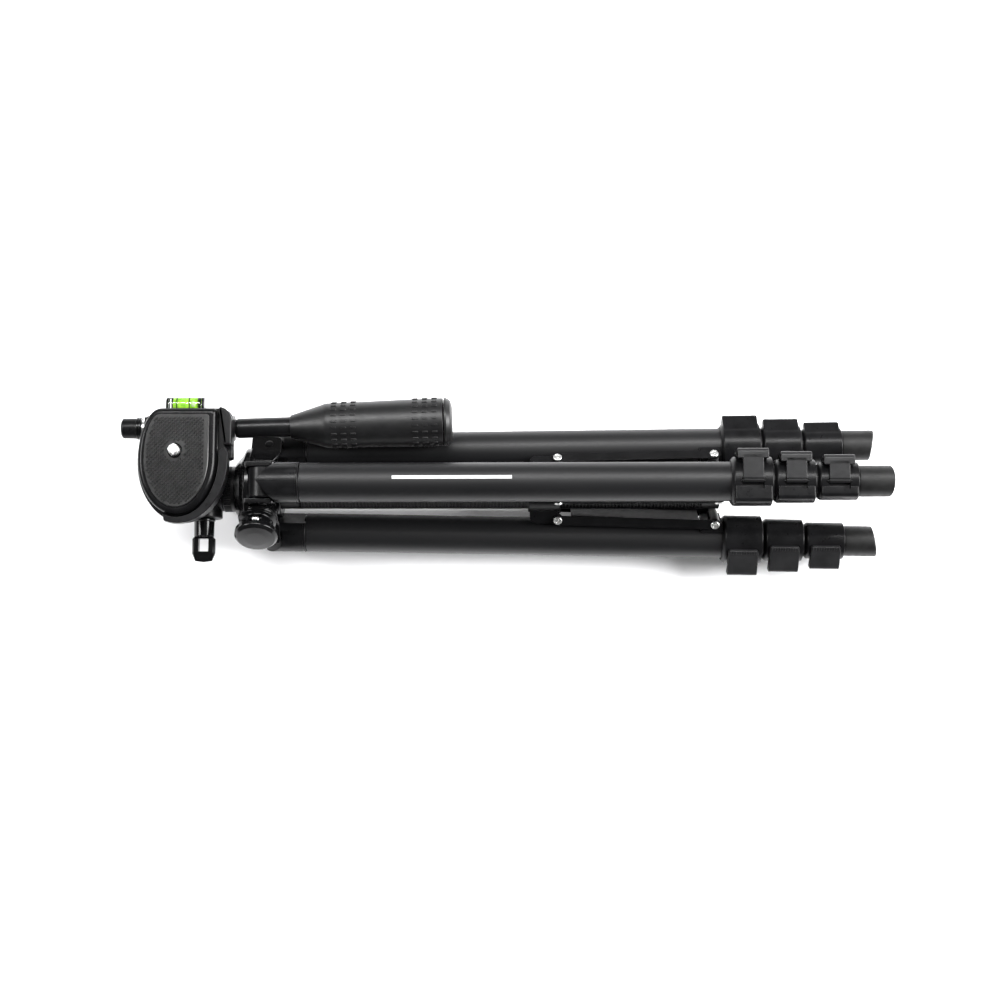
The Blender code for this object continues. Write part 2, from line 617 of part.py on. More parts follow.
# ---- assembly ----
def build_legs(base, finishes):
    """Each leg's pieces share their meshes; only the frames they hang on differ."""
    hinge_at = (0.0, 0.0, -HINGE_DROP)
    casting = mesh_of(leg_top_casting(), "leg_top_casting")
    tubes = [mesh_of(tube(index), f"tube_{index + 1}") for index in range(4)]
    collars = [mesh_of(collar(index), f"collar_{index + 1}") for index in range(3)]
    levers = [mesh_of(lever(index), f"lever_{index + 1}") for index in range(3)]
    foot_mesh = mesh_of(foot(), "foot")
    bracket = mesh_of(brace_bracket(), "brace_bracket")
    brace_mesh = mesh_of(brace(), "brace")
    for number, angle in enumerate(LEG_ANGLES, 1):
        leg = f"leg_{number}"
        round_column = joint_frame(f"{leg}_side", base, turn=(math.radians(-angle), 0.0, 0.0))
        hinge = joint_frame(
            f"{leg}_hinge",
            round_column,
            (HINGE_X, 0.0, LEG_AXIS_RADIUS - HINGE_DROP),
            (0.0, math.radians(-LEG_SPLAY), 0.0),
        )
        part(f"{leg}_top_casting", casting, finishes["plastic"], hinge, hinge_at)
        part(f"{leg}_brace_bracket", bracket, finishes["plastic"], hinge, hinge_at)
        section = hinge
        section_at = hinge_at
        for index in range(4):
            if index:
                section = joint_frame(f"{leg}_section_{index + 1}_slide", section, -Vector(section_at))
                section_at = (0.0, 0.0, 0.0)
            part(f"{leg}_tube_{index + 1}", tubes[index], finishes["aluminium"], section, section_at)
            if index == 3:
                continue
            part(f"{leg}_collar_{index + 1}", collars[index], finishes["plastic"], section, section_at)
            pin = lever_pin(index)
            swing = joint_frame(f"{leg}_lever_{index + 1}_pin", section, Vector(pin) - Vector(section_at))
            part(f"{leg}_lever_{index + 1}", levers[index], finishes["plastic"], swing, pin)
        part(f"{leg}_foot", foot_mesh, finishes["rubber"], section, section_at)
        pivot = (BRACKET_PIVOT[0], 0.0, BRACKET_PIVOT[1])
        fork = joint_frame(f"{leg}_brace_pivot", round_column, pivot)
        part(f"{leg}_brace", brace_mesh, finishes["black_metal"], fork, pivot)


def build_column(base, finishes):
    part("crown", mesh_of(crown(), "crown"), finishes["plastic"], base)
    slide = joint_frame("column_slide", base)
    part("column", mesh_of(column(), "column"), finishes["aluminium"], slide)
    part("pan_base", mesh_of(pan_base(), "pan_base"), finishes["plastic"], slide)
    hub = joint_frame("hub_slide", base)
    part("spreader_hub", mesh_of(spreader_hub(), "spreader_hub"), finishes["plastic"], hub)
    crank_at = (-0.1404, 0.0, 0.0)
    turn = joint_frame("crank_shaft", base, crank_at)
    part("crank", mesh_of(crank(), "crank"), finishes["plastic"], turn, crank_at)
    return slide


def build_head(slide, finishes):
    """The head's chain of frames: pan, tilt, flip, plate and screw, with a knob for each lock."""
    tilt_at = (TILT_AXIS[0], 0.0, TILT_AXIS[1])
    flip_at = (TILT_AXIS[0], *FLIP_AXIS)
    knob_at = (PAN_KNOB_X, 0.0, -0.0200)
    lever_at = (*QR_PIVOT, SLAB_Z[1])
    screw_at = (*SCREW_AT, PLATE_BASE)
    handle_at = (HANDLE_START, *FLIP_AXIS)
    pan = joint_frame("pan_axis", slide, (-0.1614, 0.0, 0.0))
    pan_at = (-0.1614, 0.0, 0.0)
    tilt = joint_frame("tilt_axis", pan, Vector(tilt_at) - Vector(pan_at))
    flip = joint_frame("flip_axis", tilt, Vector(flip_at) - Vector(tilt_at))
    plate = joint_frame("plate_lift", flip, Vector(screw_at) - Vector(flip_at))
    handle = joint_frame("handle_axis", tilt, Vector(handle_at) - Vector(tilt_at))
    part("pan_body", mesh_of(pan_body(), "pan_body"), finishes["plastic"], pan, pan_at)
    pan_knob = joint_frame("pan_knob_axis", pan, Vector(knob_at) - Vector(pan_at))
    part("pan_lock_knob", mesh_of(pan_lock_knob(), "pan_lock_knob"), finishes["plastic"], pan_knob, knob_at)
    tilt_knob = joint_frame("tilt_knob_axis", pan, Vector(tilt_at) - Vector(pan_at))
    part("tilt_lock_knob", mesh_of(tilt_lock_knob(), "tilt_lock_knob"), finishes["plastic"], tilt_knob, tilt_at)
    part("tilt_block", mesh_of(tilt_block(), "tilt_block"), finishes["plastic"], tilt, tilt_at)
    part("handle_rod", mesh_of(handle_rod(), "handle_rod"), finishes["black_metal"], handle, handle_at)
    part("handle_grip", mesh_of(handle_grip(), "handle_grip"), finishes["rubber"], handle, handle_at)
    front = joint_frame("flip_knob_axis", tilt, Vector(flip_at) - Vector(tilt_at))
    part("flip_lock_knob", mesh_of(flip_lock_knob(), "flip_lock_knob"), finishes["plastic"], front, flip_at)
    part("platform", mesh_of(platform(), "platform"), finishes["plastic"], flip, flip_at)
    part("bubble_level", mesh_of(bubble_level(), "bubble_level"), finishes["glass"], flip, flip_at)
    release = joint_frame("qr_lever_pin", flip, Vector(lever_at) - Vector(flip_at))
    part("qr_lever", mesh_of(qr_lever(), "qr_lever"), finishes["plastic"], release, lever_at)
    plate_mesh = mesh_of(quick_release_plate(), "quick_release_plate")
    part("quick_release_plate", plate_mesh, finishes["plastic"], plate, screw_at)
    part("plate_pad", mesh_of(plate_pad(), "plate_pad"), finishes["rubber"], plate, screw_at)
    screw = joint_frame("camera_screw_axis", plate)
    part("camera_screw", mesh_of(camera_screw(), "camera_screw"), finishes["steel"], screw, screw_at)


def main():
    finishes = {
        "plastic": finish("black_plastic", (0.018, 0.018, 0.019), 0.45),
        "aluminium": finish("black_anodised_aluminium", (0.030, 0.030, 0.033), 0.32, 0.85),
        "black_metal": finish("black_painted_steel", (0.020, 0.020, 0.021), 0.38, 0.4),
        "rubber": finish("black_rubber", (0.022, 0.022, 0.022), 0.75),
        "steel": finish("plated_steel", (0.62, 0.62, 0.60), 0.22, 1.0),
        "glass": finish("level_vial", (0.55, 0.72, 0.12), 0.08),
    }
    base = joint_frame("tripod", at=(*MIDDLE, AXIS_HEIGHT))
    build_legs(base, finishes)
    slide = build_column(base, finishes)
    build_head(slide, finishes)


clear_scene()
parts = new_collection("camera_tripod")
workshop = new_collection("workshop")
main()
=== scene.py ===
"""The looks of a folded four-section tripod with a three-way pan head.

Shapes are written in millimetres, in one of these frames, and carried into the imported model's frame:
the tripod's frame, whose X axis is the centre column's axis; a leg's side frame, which is the tripod's
frame turned about the column until +Z points at that leg; a leg's own frame, whose X axis is its tube's
axis; and the handle's frame, whose X axis is the handle's axis.
"""

import json
import math

import bmesh
import bpy
from mathutils import Matrix, Vector


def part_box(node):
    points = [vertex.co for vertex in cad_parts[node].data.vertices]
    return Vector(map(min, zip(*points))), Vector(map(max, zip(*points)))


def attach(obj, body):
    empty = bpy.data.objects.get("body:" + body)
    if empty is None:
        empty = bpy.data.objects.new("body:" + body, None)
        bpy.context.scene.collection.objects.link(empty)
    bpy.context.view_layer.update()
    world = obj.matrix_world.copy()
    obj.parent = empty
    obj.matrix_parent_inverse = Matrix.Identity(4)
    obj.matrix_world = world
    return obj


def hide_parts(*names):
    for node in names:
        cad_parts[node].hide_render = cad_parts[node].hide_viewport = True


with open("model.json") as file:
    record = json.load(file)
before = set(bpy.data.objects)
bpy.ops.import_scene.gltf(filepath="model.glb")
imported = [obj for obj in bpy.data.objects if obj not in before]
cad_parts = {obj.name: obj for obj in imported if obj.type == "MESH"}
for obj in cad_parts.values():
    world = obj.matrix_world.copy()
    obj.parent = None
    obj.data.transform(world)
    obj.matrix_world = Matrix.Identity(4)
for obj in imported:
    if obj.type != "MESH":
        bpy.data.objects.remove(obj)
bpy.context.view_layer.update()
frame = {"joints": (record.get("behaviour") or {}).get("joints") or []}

MM = 0.001
ROUND = 72  # facets round a large turned piece
SMALL_ROUND = 32  # facets round a pin or a screw

# ---- dimensions shared by several pieces, in millimetres ----
COLUMN_END = 128.0  # the column's lower end in the tripod's frame
COLUMN_TOP = -154.1
COLUMN_RADIUS = 11.5
BORE_RADIUS = 11.8
HINGE_DROP = 2.6  # the leg's hinge lies this much nearer the column than the leg's axis
HINGE_X = -136.0
HINGE_OUT = 24.54
TUBE_RADII = (11.3, 9.9, 8.5, 7.1)
TUBE_WALL = 0.9
TUBE_START = 22.0
COLLAR_START = 267.0
COLLAR_PITCH = 24.4
COLLAR_LENGTH = 23.4
COLLAR_RADII = (14.1, 12.4, 10.8)
FOOT_END = 360.2
FOOT_RADIUS = 9.0
HUB_PIVOT = (33.8, 15.6)
BRACKET_PIVOT = (126.0, 18.5)
TILT_X = -173.0
FLIP_AXIS = (34.0, 12.0)
SLAB_TOP = 29.5
PLATE_BASE = 29.8
PLATE_TOP = 36.5
PAD_TOP = 38.0
VIAL_AT = (45.4, 25.0)
PAN_KNOB_X = -168.7
CRANK_X = -140.4
CRANK_TURN = 60.0  # the crank's shaft lies this far round the column from the top leg

# ---- frames ----
joints = {joint["name"]: joint for joint in frame["joints"]}


def axes(x, y, at):
    """The frame with these X and Y directions and this origin."""
    x, y = Vector(x).normalized(), Vector(y).normalized()
    turn = Matrix((x, y, x.cross(y))).transposed().to_4x4()
    return Matrix.Translation(at) @ turn


def tripod_frame():
    low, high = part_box("column")
    middle = (low + high) / 2
    return Matrix.Translation((high.x - COLUMN_END * MM, middle.y, middle.z))


def side_frame(leg):
    round_column = -Vector(joints[f"leg_{leg}_spread"]["axis"])
    return axes((1, 0, 0), round_column, TRIPOD.translation)


def leg_frame(leg):
    hinge = joints[f"leg_{leg}_spread"]
    slide = joints[f"leg_{leg}_section_2_slide"]
    placed = axes(slide["axis"], -Vector(hinge["axis"]), hinge["pos_m"])
    return placed @ Matrix.Translation((0, 0, HINGE_DROP * MM))


def handle_frame():
    twist = joints["handle_twist"]
    along = Vector(twist["axis"])
    return axes(along, Vector((0, 0, 1)).cross(along), twist["pos_m"])


TRIPOD = tripod_frame()
SIDES = {leg: side_frame(leg) for leg in (1, 2, 3)}
LEGS = {leg: leg_frame(leg) for leg in (1, 2, 3)}
HANDLE = handle_frame()


# ---- modelling helpers ----
def shape_from(bm):
    """Turn a bmesh into an object with outward normals."""
    bmesh.ops.recalc_face_normals(bm, faces=bm.faces)
    mesh = bpy.data.meshes.new("shape")
    bm.to_mesh(mesh)
    bm.free()
    shape = bpy.data.objects.new("shape", mesh)
    bpy.context.scene.collection.objects.link(shape)
    return shape


def moved(shape, matrix):
    shape.data.transform(matrix)
    return shape


def rounded(points, closed=True, steps=4):
    """Replace each corner given as (a, b, radius) with an arc; a corner given as (a, b) stays sharp."""
    result = []
    for number, point in enumerate(points):
        here = Vector(point[:2])
        radius = point[2] if len(point) > 2 else 0.0
        at_end = not closed and number in (0, len(points) - 1)
        if radius == 0.0 or at_end:
            result.append(here)
            continue
        before = Vector(points[number - 1][:2]) - here
        after = Vector(points[(number + 1) % len(points)][:2]) - here
        half = before.angle(after) / 2
        back = min(radius / math.tan(half), 0.48 * before.length, 0.48 * after.length)
        start = here + before.normalized() * back
        end = here + after.normalized() * back
        centre = here + (before.normalized() + after.normalized()).normalized() * back / math.cos(half)
        first = math.atan2(start.y - centre.y, start.x - centre.x)
        sweep = math.atan2(end.y - centre.y, end.x - centre.x) - first
        sweep = (sweep + math.pi) % math.tau - math.pi
        reach = (start - centre).length
        for step in range(steps + 1):
            angle = first + sweep * step / steps
            result.append(centre + reach * Vector((math.cos(angle), math.sin(angle))))
    return result


def arc(centre, radii, start, end, steps):
    """Points along an elliptical arc, angles in degrees."""
    points = []
    for step in range(steps + 1):
        angle = math.radians(start + (end - start) * step / steps)
        points.append((centre[0] + radii[0] * math.cos(angle), centre[1] + radii[1] * math.sin(angle)))
    return points


def lathe(profile, sides=ROUND, ring=False, steps=4, radius_at=None):
    """Turn a profile of (x, radius, corner radius) points about X; a ring's profile is closed."""
    bm = bmesh.new()
    rows = []
    for x, radius in rounded(profile, ring, steps):
        if radius < 0.0001:
            rows.append([bm.verts.new((x, 0, 0))])
            continue
        row = []
        for side in range(sides):
            angle = math.tau * side / sides
            reach = radius_at(x, radius, angle) if radius_at else radius
            row.append(bm.verts.new((x, reach * math.cos(angle), reach * math.sin(angle))))
        rows.append(row)
    following = rows[1:] + ([rows[0]] if ring else [])
    for first, second in zip(rows, following):
        for side in range(sides):
            after = (side + 1) % sides
            corners = [first[side % len(first)], first[after % len(first)]]
            corners += [second[after % len(second)], second[side % len(second)]]
            face = list(dict.fromkeys(corners))
            if len(face) > 2:
                bm.faces.new(face)
    return shape_from(bm)


def rod(start, end, radius, end_radius=None, edge=0.2, sides=SMALL_ROUND):
    """A cylinder or cone between two points, with rounded rims."""
    start, end = Vector(start), Vector(end)
    length = (end - start).length
    far = radius if end_radius is None else end_radius
    shape = lathe([(0, 0), (0, radius, edge), (length, far, edge), (length, 0)], sides, steps=3)
    turn = (end - start).to_track_quat("X", "Z").to_matrix().to_4x4()
    return moved(shape, Matrix.Translation(start) @ turn)


def prism(outline, low, high, along="Z", edge=0.0, segments=3):
    """An outline in the other two axes, extruded from low to high, with its rims rounded."""
    put = {
        "X": lambda a, b, c: (c, a, b),
        "Y": lambda a, b, c: (a, c, b),
        "Z": lambda a, b, c: (a, b, c),
    }[along]
    points = [Vector(point) for point in outline]
    bm = bmesh.new()
    lower = [bm.verts.new(put(point.x, point.y, low)) for point in points]
    upper = [bm.verts.new(put(point.x, point.y, high)) for point in points]
    bm.faces.new(lower)
    bm.faces.new(upper)
    rims = []
    for number in range(len(points)):
        after = (number + 1) % len(points)
        bm.faces.new((lower[number], lower[after], upper[after], upper[number]))
        rims.append(bm.edges.get((lower[number], lower[after])))
        rims.append(bm.edges.get((upper[number], upper[after])))
    bmesh.ops.recalc_face_normals(bm, faces=bm.faces)
    if edge:
        bmesh.ops.bevel(bm, geom=rims, offset=edge, segments=segments, profile=0.5, affect="EDGES")
    return shape_from(bm)


def block(low, high, edge=0.0, segments=2):
    """A box between two corners with rounded edges."""
    low, high = Vector(low), Vector(high)
    bm = bmesh.new()
    bmesh.ops.create_cube(bm, size=1.0)
    placed = Matrix.Translation((low + high) / 2) @ Matrix.Diagonal((*(high - low), 1.0))
    bmesh.ops.transform(bm, matrix=placed, verts=bm.verts)
    if edge:
        bmesh.ops.bevel(bm, geom=bm.edges[:], offset=edge, segments=segments, profile=0.5, affect="EDGES")
    return shape_from(bm)


def hull(points, edge=0.0, segments=2):
    """The convex solid round some points, with rounded edges."""
    bm = bmesh.new()
    for point in points:
        bm.verts.new(point)
    found = bmesh.ops.convex_hull(bm, input=bm.verts)
    unused = [item for item in found["geom_interior"] if isinstance(item, bmesh.types.BMVert)]
    bmesh.ops.delete(bm, geom=unused, context="VERTS")
    bmesh.ops.dissolve_limit(bm, angle_limit=0.01, verts=bm.verts, edges=bm.edges)
    if edge:
        bmesh.ops.bevel(bm, geom=bm.edges[:], offset=edge, segments=segments, profile=0.5, affect="EDGES")
    return shape_from(bm)


def settle(shape):
    """Apply a shape's modifiers."""
    graph = bpy.context.evaluated_depsgraph_get()
    mesh = bpy.data.meshes.new_from_object(shape.evaluated_get(graph))
    shape.modifiers.clear()
    shape.data = mesh
    return shape


def combine(operation, target, others):
    """Join, cut or intersect a shape with others, which it uses up."""
    for other in others:
        modifier = target.modifiers.new(operation.lower(), "BOOLEAN")
        modifier.operation = operation
        modifier.solver = "EXACT"
        modifier.object = other
    settle(target)
    for other in others:
        bpy.data.objects.remove(other)
    return target


def join(target, *others):
    return combine("UNION", target, others)


def cut(target, *others):
    return combine("DIFFERENCE", target, others)


def keep(target, *others):
    return combine("INTERSECT", target, others)


def gather(shapes):
    """Several closed shapes as one piece."""
    bm = bmesh.new()
    for shape in shapes:
        bm.from_mesh(shape.data)
        bpy.data.objects.remove(shape)
    return shape_from(bm)


def soften(shape, width, angle=40, segments=2):
    """Round the edges that are sharper than an angle."""
    bevel = shape.modifiers.new("soft edges", "BEVEL")
    bevel.width = width
    bevel.segments = segments
    bevel.limit_method = "ANGLE"
    bevel.angle_limit = math.radians(angle)
    bevel.use_clamp_overlap = True
    return settle(shape)


def about_column(shape, degrees):
    """Turn a shape made for the top leg's side of the column to another side."""
    return moved(shape, Matrix.Rotation(math.radians(degrees), 4, "X"))


# ---- making pieces of shapes ----
def finished(shape, material):
    """Take a shape's mesh, in metres, smooth shaded and painted."""
    mesh = shape.data
    bpy.data.objects.remove(shape)
    mesh.transform(Matrix.Scale(MM, 4))
    mesh.materials.clear()
    mesh.materials.append(material)
    mesh.shade_smooth()
    mesh.set_sharp_from_angle(angle=math.radians(38))
    return mesh


def piece(name, mesh, body, slot, at, *stands_for):
    """A named piece that rides on a body and stands for the CAD nodes given."""
    obj = bpy.data.objects.new(name, mesh)
    bpy.context.scene.collection.objects.link(obj)
    obj.matrix_world = at
    even = obj.modifiers.new("even shading", "WEIGHTED_NORMAL")
    even.keep_sharp = True
    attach(obj, body)
    if stands_for:
        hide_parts(*stands_for)
    return obj


# ---- materials ----
def noise(tree, size, detail=2.0, stretch=(1.0, 1.0, 1.0)):
    """A noise whose grains are about size millimetres, drawn out along an axis by stretch."""
    coordinates = tree.nodes.new("ShaderNodeTexCoord")
    mapping = tree.nodes.new("ShaderNodeMapping")
    mapping.inputs["Scale"].default_value = stretch
    texture = tree.nodes.new("ShaderNodeTexNoise")
    texture.inputs["Scale"].default_value = 1.0 / (size * MM)
    texture.inputs["Detail"].default_value = detail
    tree.links.new(coordinates.outputs["Object"], mapping.inputs["Vector"])
    tree.links.new(mapping.outputs["Vector"], texture.inputs["Vector"])
    return texture.outputs["Fac"]


def spread(tree, value, low, high):
    """Map the middle of a noise's range to low ... high."""
    mapped = tree.nodes.new("ShaderNodeMapRange")
    mapped.inputs["From Min"].default_value = 0.3
    mapped.inputs["From Max"].default_value = 0.7
    mapped.inputs["To Min"].default_value = low
    mapped.inputs["To Max"].default_value = high
    tree.links.new(value, mapped.inputs["Value"])
    return mapped.outputs["Result"]


def paint(name, dark, light, roughness, grain=0.3, bump=0.25, mottle=9.0, stretch=(1, 1, 1), **sockets):
    """A finish whose colour, roughness and fine relief all vary, with fixed values for other sockets."""
    material = bpy.data.materials.new(name)
    material.use_nodes = True
    tree = material.node_tree
    shader = tree.nodes["Principled BSDF"]
    colour = tree.nodes.new("ShaderNodeMix")
    colour.data_type = "RGBA"
    colour.inputs["A"].default_value = (*dark, 1.0)
    colour.inputs["B"].default_value = (*light, 1.0)
    tree.links.new(spread(tree, noise(tree, mottle, 4.0, stretch), 0.0, 1.0), colour.inputs["Factor"])
    tree.links.new(colour.outputs["Result"], shader.inputs["Base Color"])
    worn = noise(tree, mottle * 0.35, 3.0, stretch)
    tree.links.new(spread(tree, worn, *roughness), shader.inputs["Roughness"])
    relief = tree.nodes.new("ShaderNodeBump")
    relief.inputs["Strength"].default_value = bump
    relief.inputs["Distance"].default_value = 0.06 * MM
    tree.links.new(noise(tree, grain, 2.0, stretch), relief.inputs["Height"])
    tree.links.new(relief.outputs["Normal"], shader.inputs["Normal"])
    for socket, value in sockets.items():
        shader.inputs[socket.replace("_", " ")].default_value = value
    return material


DULL = 0.11  # specular level of the textured black plastic; bare plastic has 0.5
PLASTIC = paint(
    "moulded_plastic", (0.0022, 0.0022, 0.0024), (0.0048, 0.0048, 0.0052), (0.27, 0.35), 0.3, 0.14,
    Specular_IOR_Level=DULL,
)
PLATE_PLASTIC = paint(
    "plate_plastic", (0.0018, 0.0018, 0.0020), (0.0036, 0.0036, 0.0039), (0.19, 0.25), 0.3, 0.05,
    Specular_IOR_Level=0.10,
)
LEVER_PLASTIC = paint(
    "lever_plastic", (0.0060, 0.0060, 0.0063), (0.0105, 0.0105, 0.0110), (0.30, 0.38), 0.3, 0.14,
    Specular_IOR_Level=0.16,
)
GLOSSY = paint(
    "gloss_plastic", (0.0012, 0.0012, 0.0014), (0.0026, 0.0026, 0.0028), (0.15, 0.23), 0.6, 0.04, 6.0,
    Specular_IOR_Level=0.22,
)
ANODISED = paint(
    "anodised_tube", (0.0020, 0.0020, 0.0023), (0.0045, 0.0045, 0.0050), (0.42, 0.49), 0.25, 0.10, 14.0,
    (0.05, 1, 1), Specular_IOR_Level=0.24,
)
STEEL_PAINT = paint(
    "enamelled_steel", (0.0016, 0.0016, 0.0018), (0.0034, 0.0034, 0.0037), (0.28, 0.36), 0.8, 0.08,
    Specular_IOR_Level=0.16,
)
RUBBER = paint(
    "moulded_rubber", (0.0028, 0.0028, 0.0028), (0.0056, 0.0056, 0.0056), (0.42, 0.54), 0.35, 0.35,
    Specular_IOR_Level=0.22,
)
PAD_RUBBER = paint(
    "pad_rubber", (0.0018, 0.0018, 0.0018), (0.0036, 0.0036, 0.0036), (0.28, 0.36), 0.35, 0.05,
    Specular_IOR_Level=0.32,
)
GRIP = paint(
    "soft_touch_rubber", (0.0018, 0.0018, 0.0020), (0.0040, 0.0040, 0.0042), (0.38, 0.45), 0.3, 0.18,
    Specular_IOR_Level=0.28,
)
NICKEL = paint(
    "nickel_plate", (0.62, 0.62, 0.61), (0.72, 0.72, 0.71), (0.24, 0.32), 0.4, 0.01, 1.5,
    Metallic=1.0,
)
# The level's fluid carries a painted glow: a faint green emission that brightens it as if light shone through
# it, though it is no lamp.
FLUID_WITH_PAINTED_GLOW = paint(
    "level_fluid", (0.10, 0.36, 0.01), (0.36, 0.62, 0.05), (0.05, 0.12), 1.0, 0.02, 2.2,
    Emission_Color=(0.30, 0.75, 0.03, 1.0), Emission_Strength=0.15,
)
BUBBLE = paint("level_air", (0.42, 0.58, 0.26), (0.55, 0.70, 0.36), (0.05, 0.10), 1.0, 0.02, 2.0)
CLEAR = paint(
    "clear_vial", (0.92, 0.95, 0.92), (0.98, 0.99, 0.98), (0.03, 0.07), 2.0, 0.02, 4.0,
    Transmission_Weight=1.0, IOR=1.45,
)
PRINT = paint("pale_print", (0.30, 0.30, 0.30), (0.38, 0.38, 0.38), (0.45, 0.55), 0.3, 0.10, 3.0)


# ---- leg pieces, in the leg's frame ----
def tongue_casting():
    """Casting that ends in a pointed tongue over the hinge."""
    tip, full, end, half = -2.3, 10.0, TUBE_START - 0.3, 11.65
    nib = []
    for step in range(13):
        share = (step / 12) ** 1.4
        nib.append((tip + (full - tip) * share, half * (1 - (1 - share) ** 1.5)))
    outline = [(x, -y) for x, y in nib] + [(end, -half), (end, half)]
    outline += [(x, y) for x, y in reversed(nib[1:])]
    body = prism(outline, -9.0, 13.0)
    body = keep(body, lathe([(-10, 0), (-10, half), (end, half, 0.6), (end, 0)]))
    for side in (-1, 1):
        room = rod((0, side * 8.8, -HINGE_DROP), (0, side * 15.0, -HINGE_DROP), 7.7, edge=0)
        body = cut(body, room)
    knuckle = rod((0, -8.7, -HINGE_DROP), (0, 8.7, -HINGE_DROP), 7.0, edge=0.4)
    roll = rod((0, -8.5, -HINGE_DROP), (0, 8.5, -HINGE_DROP), 8.4, edge=0.4, sides=ROUND)
    roll = keep(roll, block((-10, -10, -HINGE_DROP - 0.5), (10, 10, 8)))
    seam = lathe([(end - 1.6, 11.40), (end - 1.6, 12.5), (end - 1.1, 12.5), (end - 1.1, 11.40)], ring=True)
    body = soften(cut(join(body, knuckle), seam), 0.35)
    plug = rod((end - 1.0, 0, 0), (39.0, 0, 0), TUBE_RADII[0] - TUBE_WALL - 0.2, edge=0.5, sides=ROUND)
    ridge = rod((-0.6, 0, half - 0.12), (9.5, 0, half - 0.12), 0.35, edge=0.3, sides=12)
    return gather([body, roll, plug, ridge])


def tube(index):
    """One telescoping section with slightly broken ends."""
    outer = TUBE_RADII[index]
    inner = outer - TUBE_WALL
    start = TUBE_START if index == 0 else 40.0 + 6.0 * index
    end = FOOT_END - 10.2 if index == 3 else COLLAR_START + COLLAR_PITCH * index + 14.7
    profile = [(end, outer, 0.25), (start, outer, 0.25), (start, inner, 0.2), (end, inner, 0.2)]
    return lathe(profile, ring=True, steps=2)


def lock_housing(index):
    """Ring clamped on one tube with the lever's block on its flank."""
    start = COLLAR_START + COLLAR_PITCH * index
    end = start + COLLAR_LENGTH
    outer = COLLAR_RADII[index]
    socket, guide = TUBE_RADII[index] + 0.3, TUBE_RADII[index + 1] + 0.3
    profile = [(end, guide, 0.4), (end, outer, 0.7), (start + 1.6, outer, 1.6), (start, outer - 1.7, 0.5)]
    profile += [(start, socket, 0.3), (start + 15.0, socket), (start + 15.0, guide)]
    body = lathe(profile, ring=True)
    side, top = outer - 0.3, outer + 0.4
    outline = rounded([(-side, 0.0), (-side, top, 2.6), (-4.2, top, 0.5), (-4.2, 0.0)])
    lug = prism(outline, start + 1.5, end - 1.0, "X", 0.8)
    lug = cut(lug, rod((start - 9, 0, 0), (end + 9, 0, 0), outer - 1.2, edge=0, sides=ROUND))
    middle = (start + end) / 2
    slot = block((middle - 6.2, -4.4, outer - 2.3), (middle + 6.2, 0.3, outer + 3.0))
    step = block((middle + 2.6, -5.8, outer - 2.0), (middle + 6.2, -4.0, outer + 3.0))
    return cut(join(body, lug), slot, step)


def lock_lever(index):
    """Flip lever: hooked stem, wide thumb tab and a ribbed free edge."""
    middle = COLLAR_START + COLLAR_PITCH * index + COLLAR_LENGTH / 2
    outer = COLLAR_RADII[index]
    low, high, corner = outer + 0.4, outer + 2.4, outer + 2.9
    reach = 0.0 if index == 0 else -2.0
    pin_at = (-1.4, outer - 0.1)
    barrel = rod((middle - 5.75, *pin_at), (middle + 5.75, *pin_at), 1.2, sides=20)
    heel = block((middle - 5.75, -1.6, pin_at[1]), (middle + 5.75, 0.0, high - 0.6), 0.15)
    stem_outline = rounded([(-0.8, low), (outer - 1.0, low), (outer - 1.0, high), (-0.8, high, 1.2)])
    stem = prism(stem_outline, middle - 5.75, middle + 5.75, "X", 0.35)
    tab_outline = rounded([
        (low, reach, 0.3), (corner, reach, 0.9), (corner, high, 2.4),
        (outer - 3.0, high, 0.4), (outer - 3.0, low, 0.3), (low, low, 0.6),
    ], steps=6)
    tab = prism(tab_outline, middle - 8.75, middle + 8.75, "X", 0.5)
    left, right = middle - 8.75, middle + 8.75
    face = rounded([(left, reach, 1.8), (right, reach, 1.8), (right, high + 1), (left, high + 1)])
    tab = keep(tab, prism(face, 0, 30, "Y"))
    ribs = []
    for number in range(11):
        x = middle + 1.5 * (number - 5)
        low, high = (x, corner - 0.05, reach + 0.6), (x, corner - 0.05, reach + 2.6)
        ribs.append(rod(low, high, 0.38, edge=0.3, sides=10))
    return gather([tab, stem, heel, barrel] + ribs)


def lever_pin(index):
    middle = COLLAR_START + COLLAR_PITCH * index + COLLAR_LENGTH / 2
    at = (-1.4, COLLAR_RADII[index] - 0.1)
    return rod((middle - 6.8, *at), (middle + 6.8, *at), 0.7, sides=16)


def rubber_foot():
    """Foot with an oblique tread, longer on the side away from the column."""
    start = COLLAR_START + 2 * COLLAR_PITCH + COLLAR_LENGTH + 0.3
    profile = [(FOOT_END, 0), (FOOT_END - 0.2, 6.6, 2.0), (FOOT_END - 0.7, FOOT_RADIUS, 1.1)]
    profile += [(start + 3.0, FOOT_RADIUS), (start, FOOT_RADIUS - 0.1, 0.5)]
    profile += [(start, 7.4, 0.3), (FOOT_END - 9.8, 7.4), (FOOT_END - 9.8, 0)]
    foot = lathe(profile, steps=6)
    grooves = []
    for number in range(-2, 3):
        z = 3.2 * number
        grooves.append(block((FOOT_END - 1.3, -12, z - 0.4), (FOOT_END + 3, 12, z + 0.4)))
    foot = cut(foot, *grooves)
    for vertex in foot.data.vertices:
        share = max(0.0, (vertex.co.x - start - 6.0) / (FOOT_END - start - 6.0))
        vertex.co.x -= 3.6 * share * (FOOT_RADIUS - vertex.co.z) / (2 * FOOT_RADIUS)
    return foot


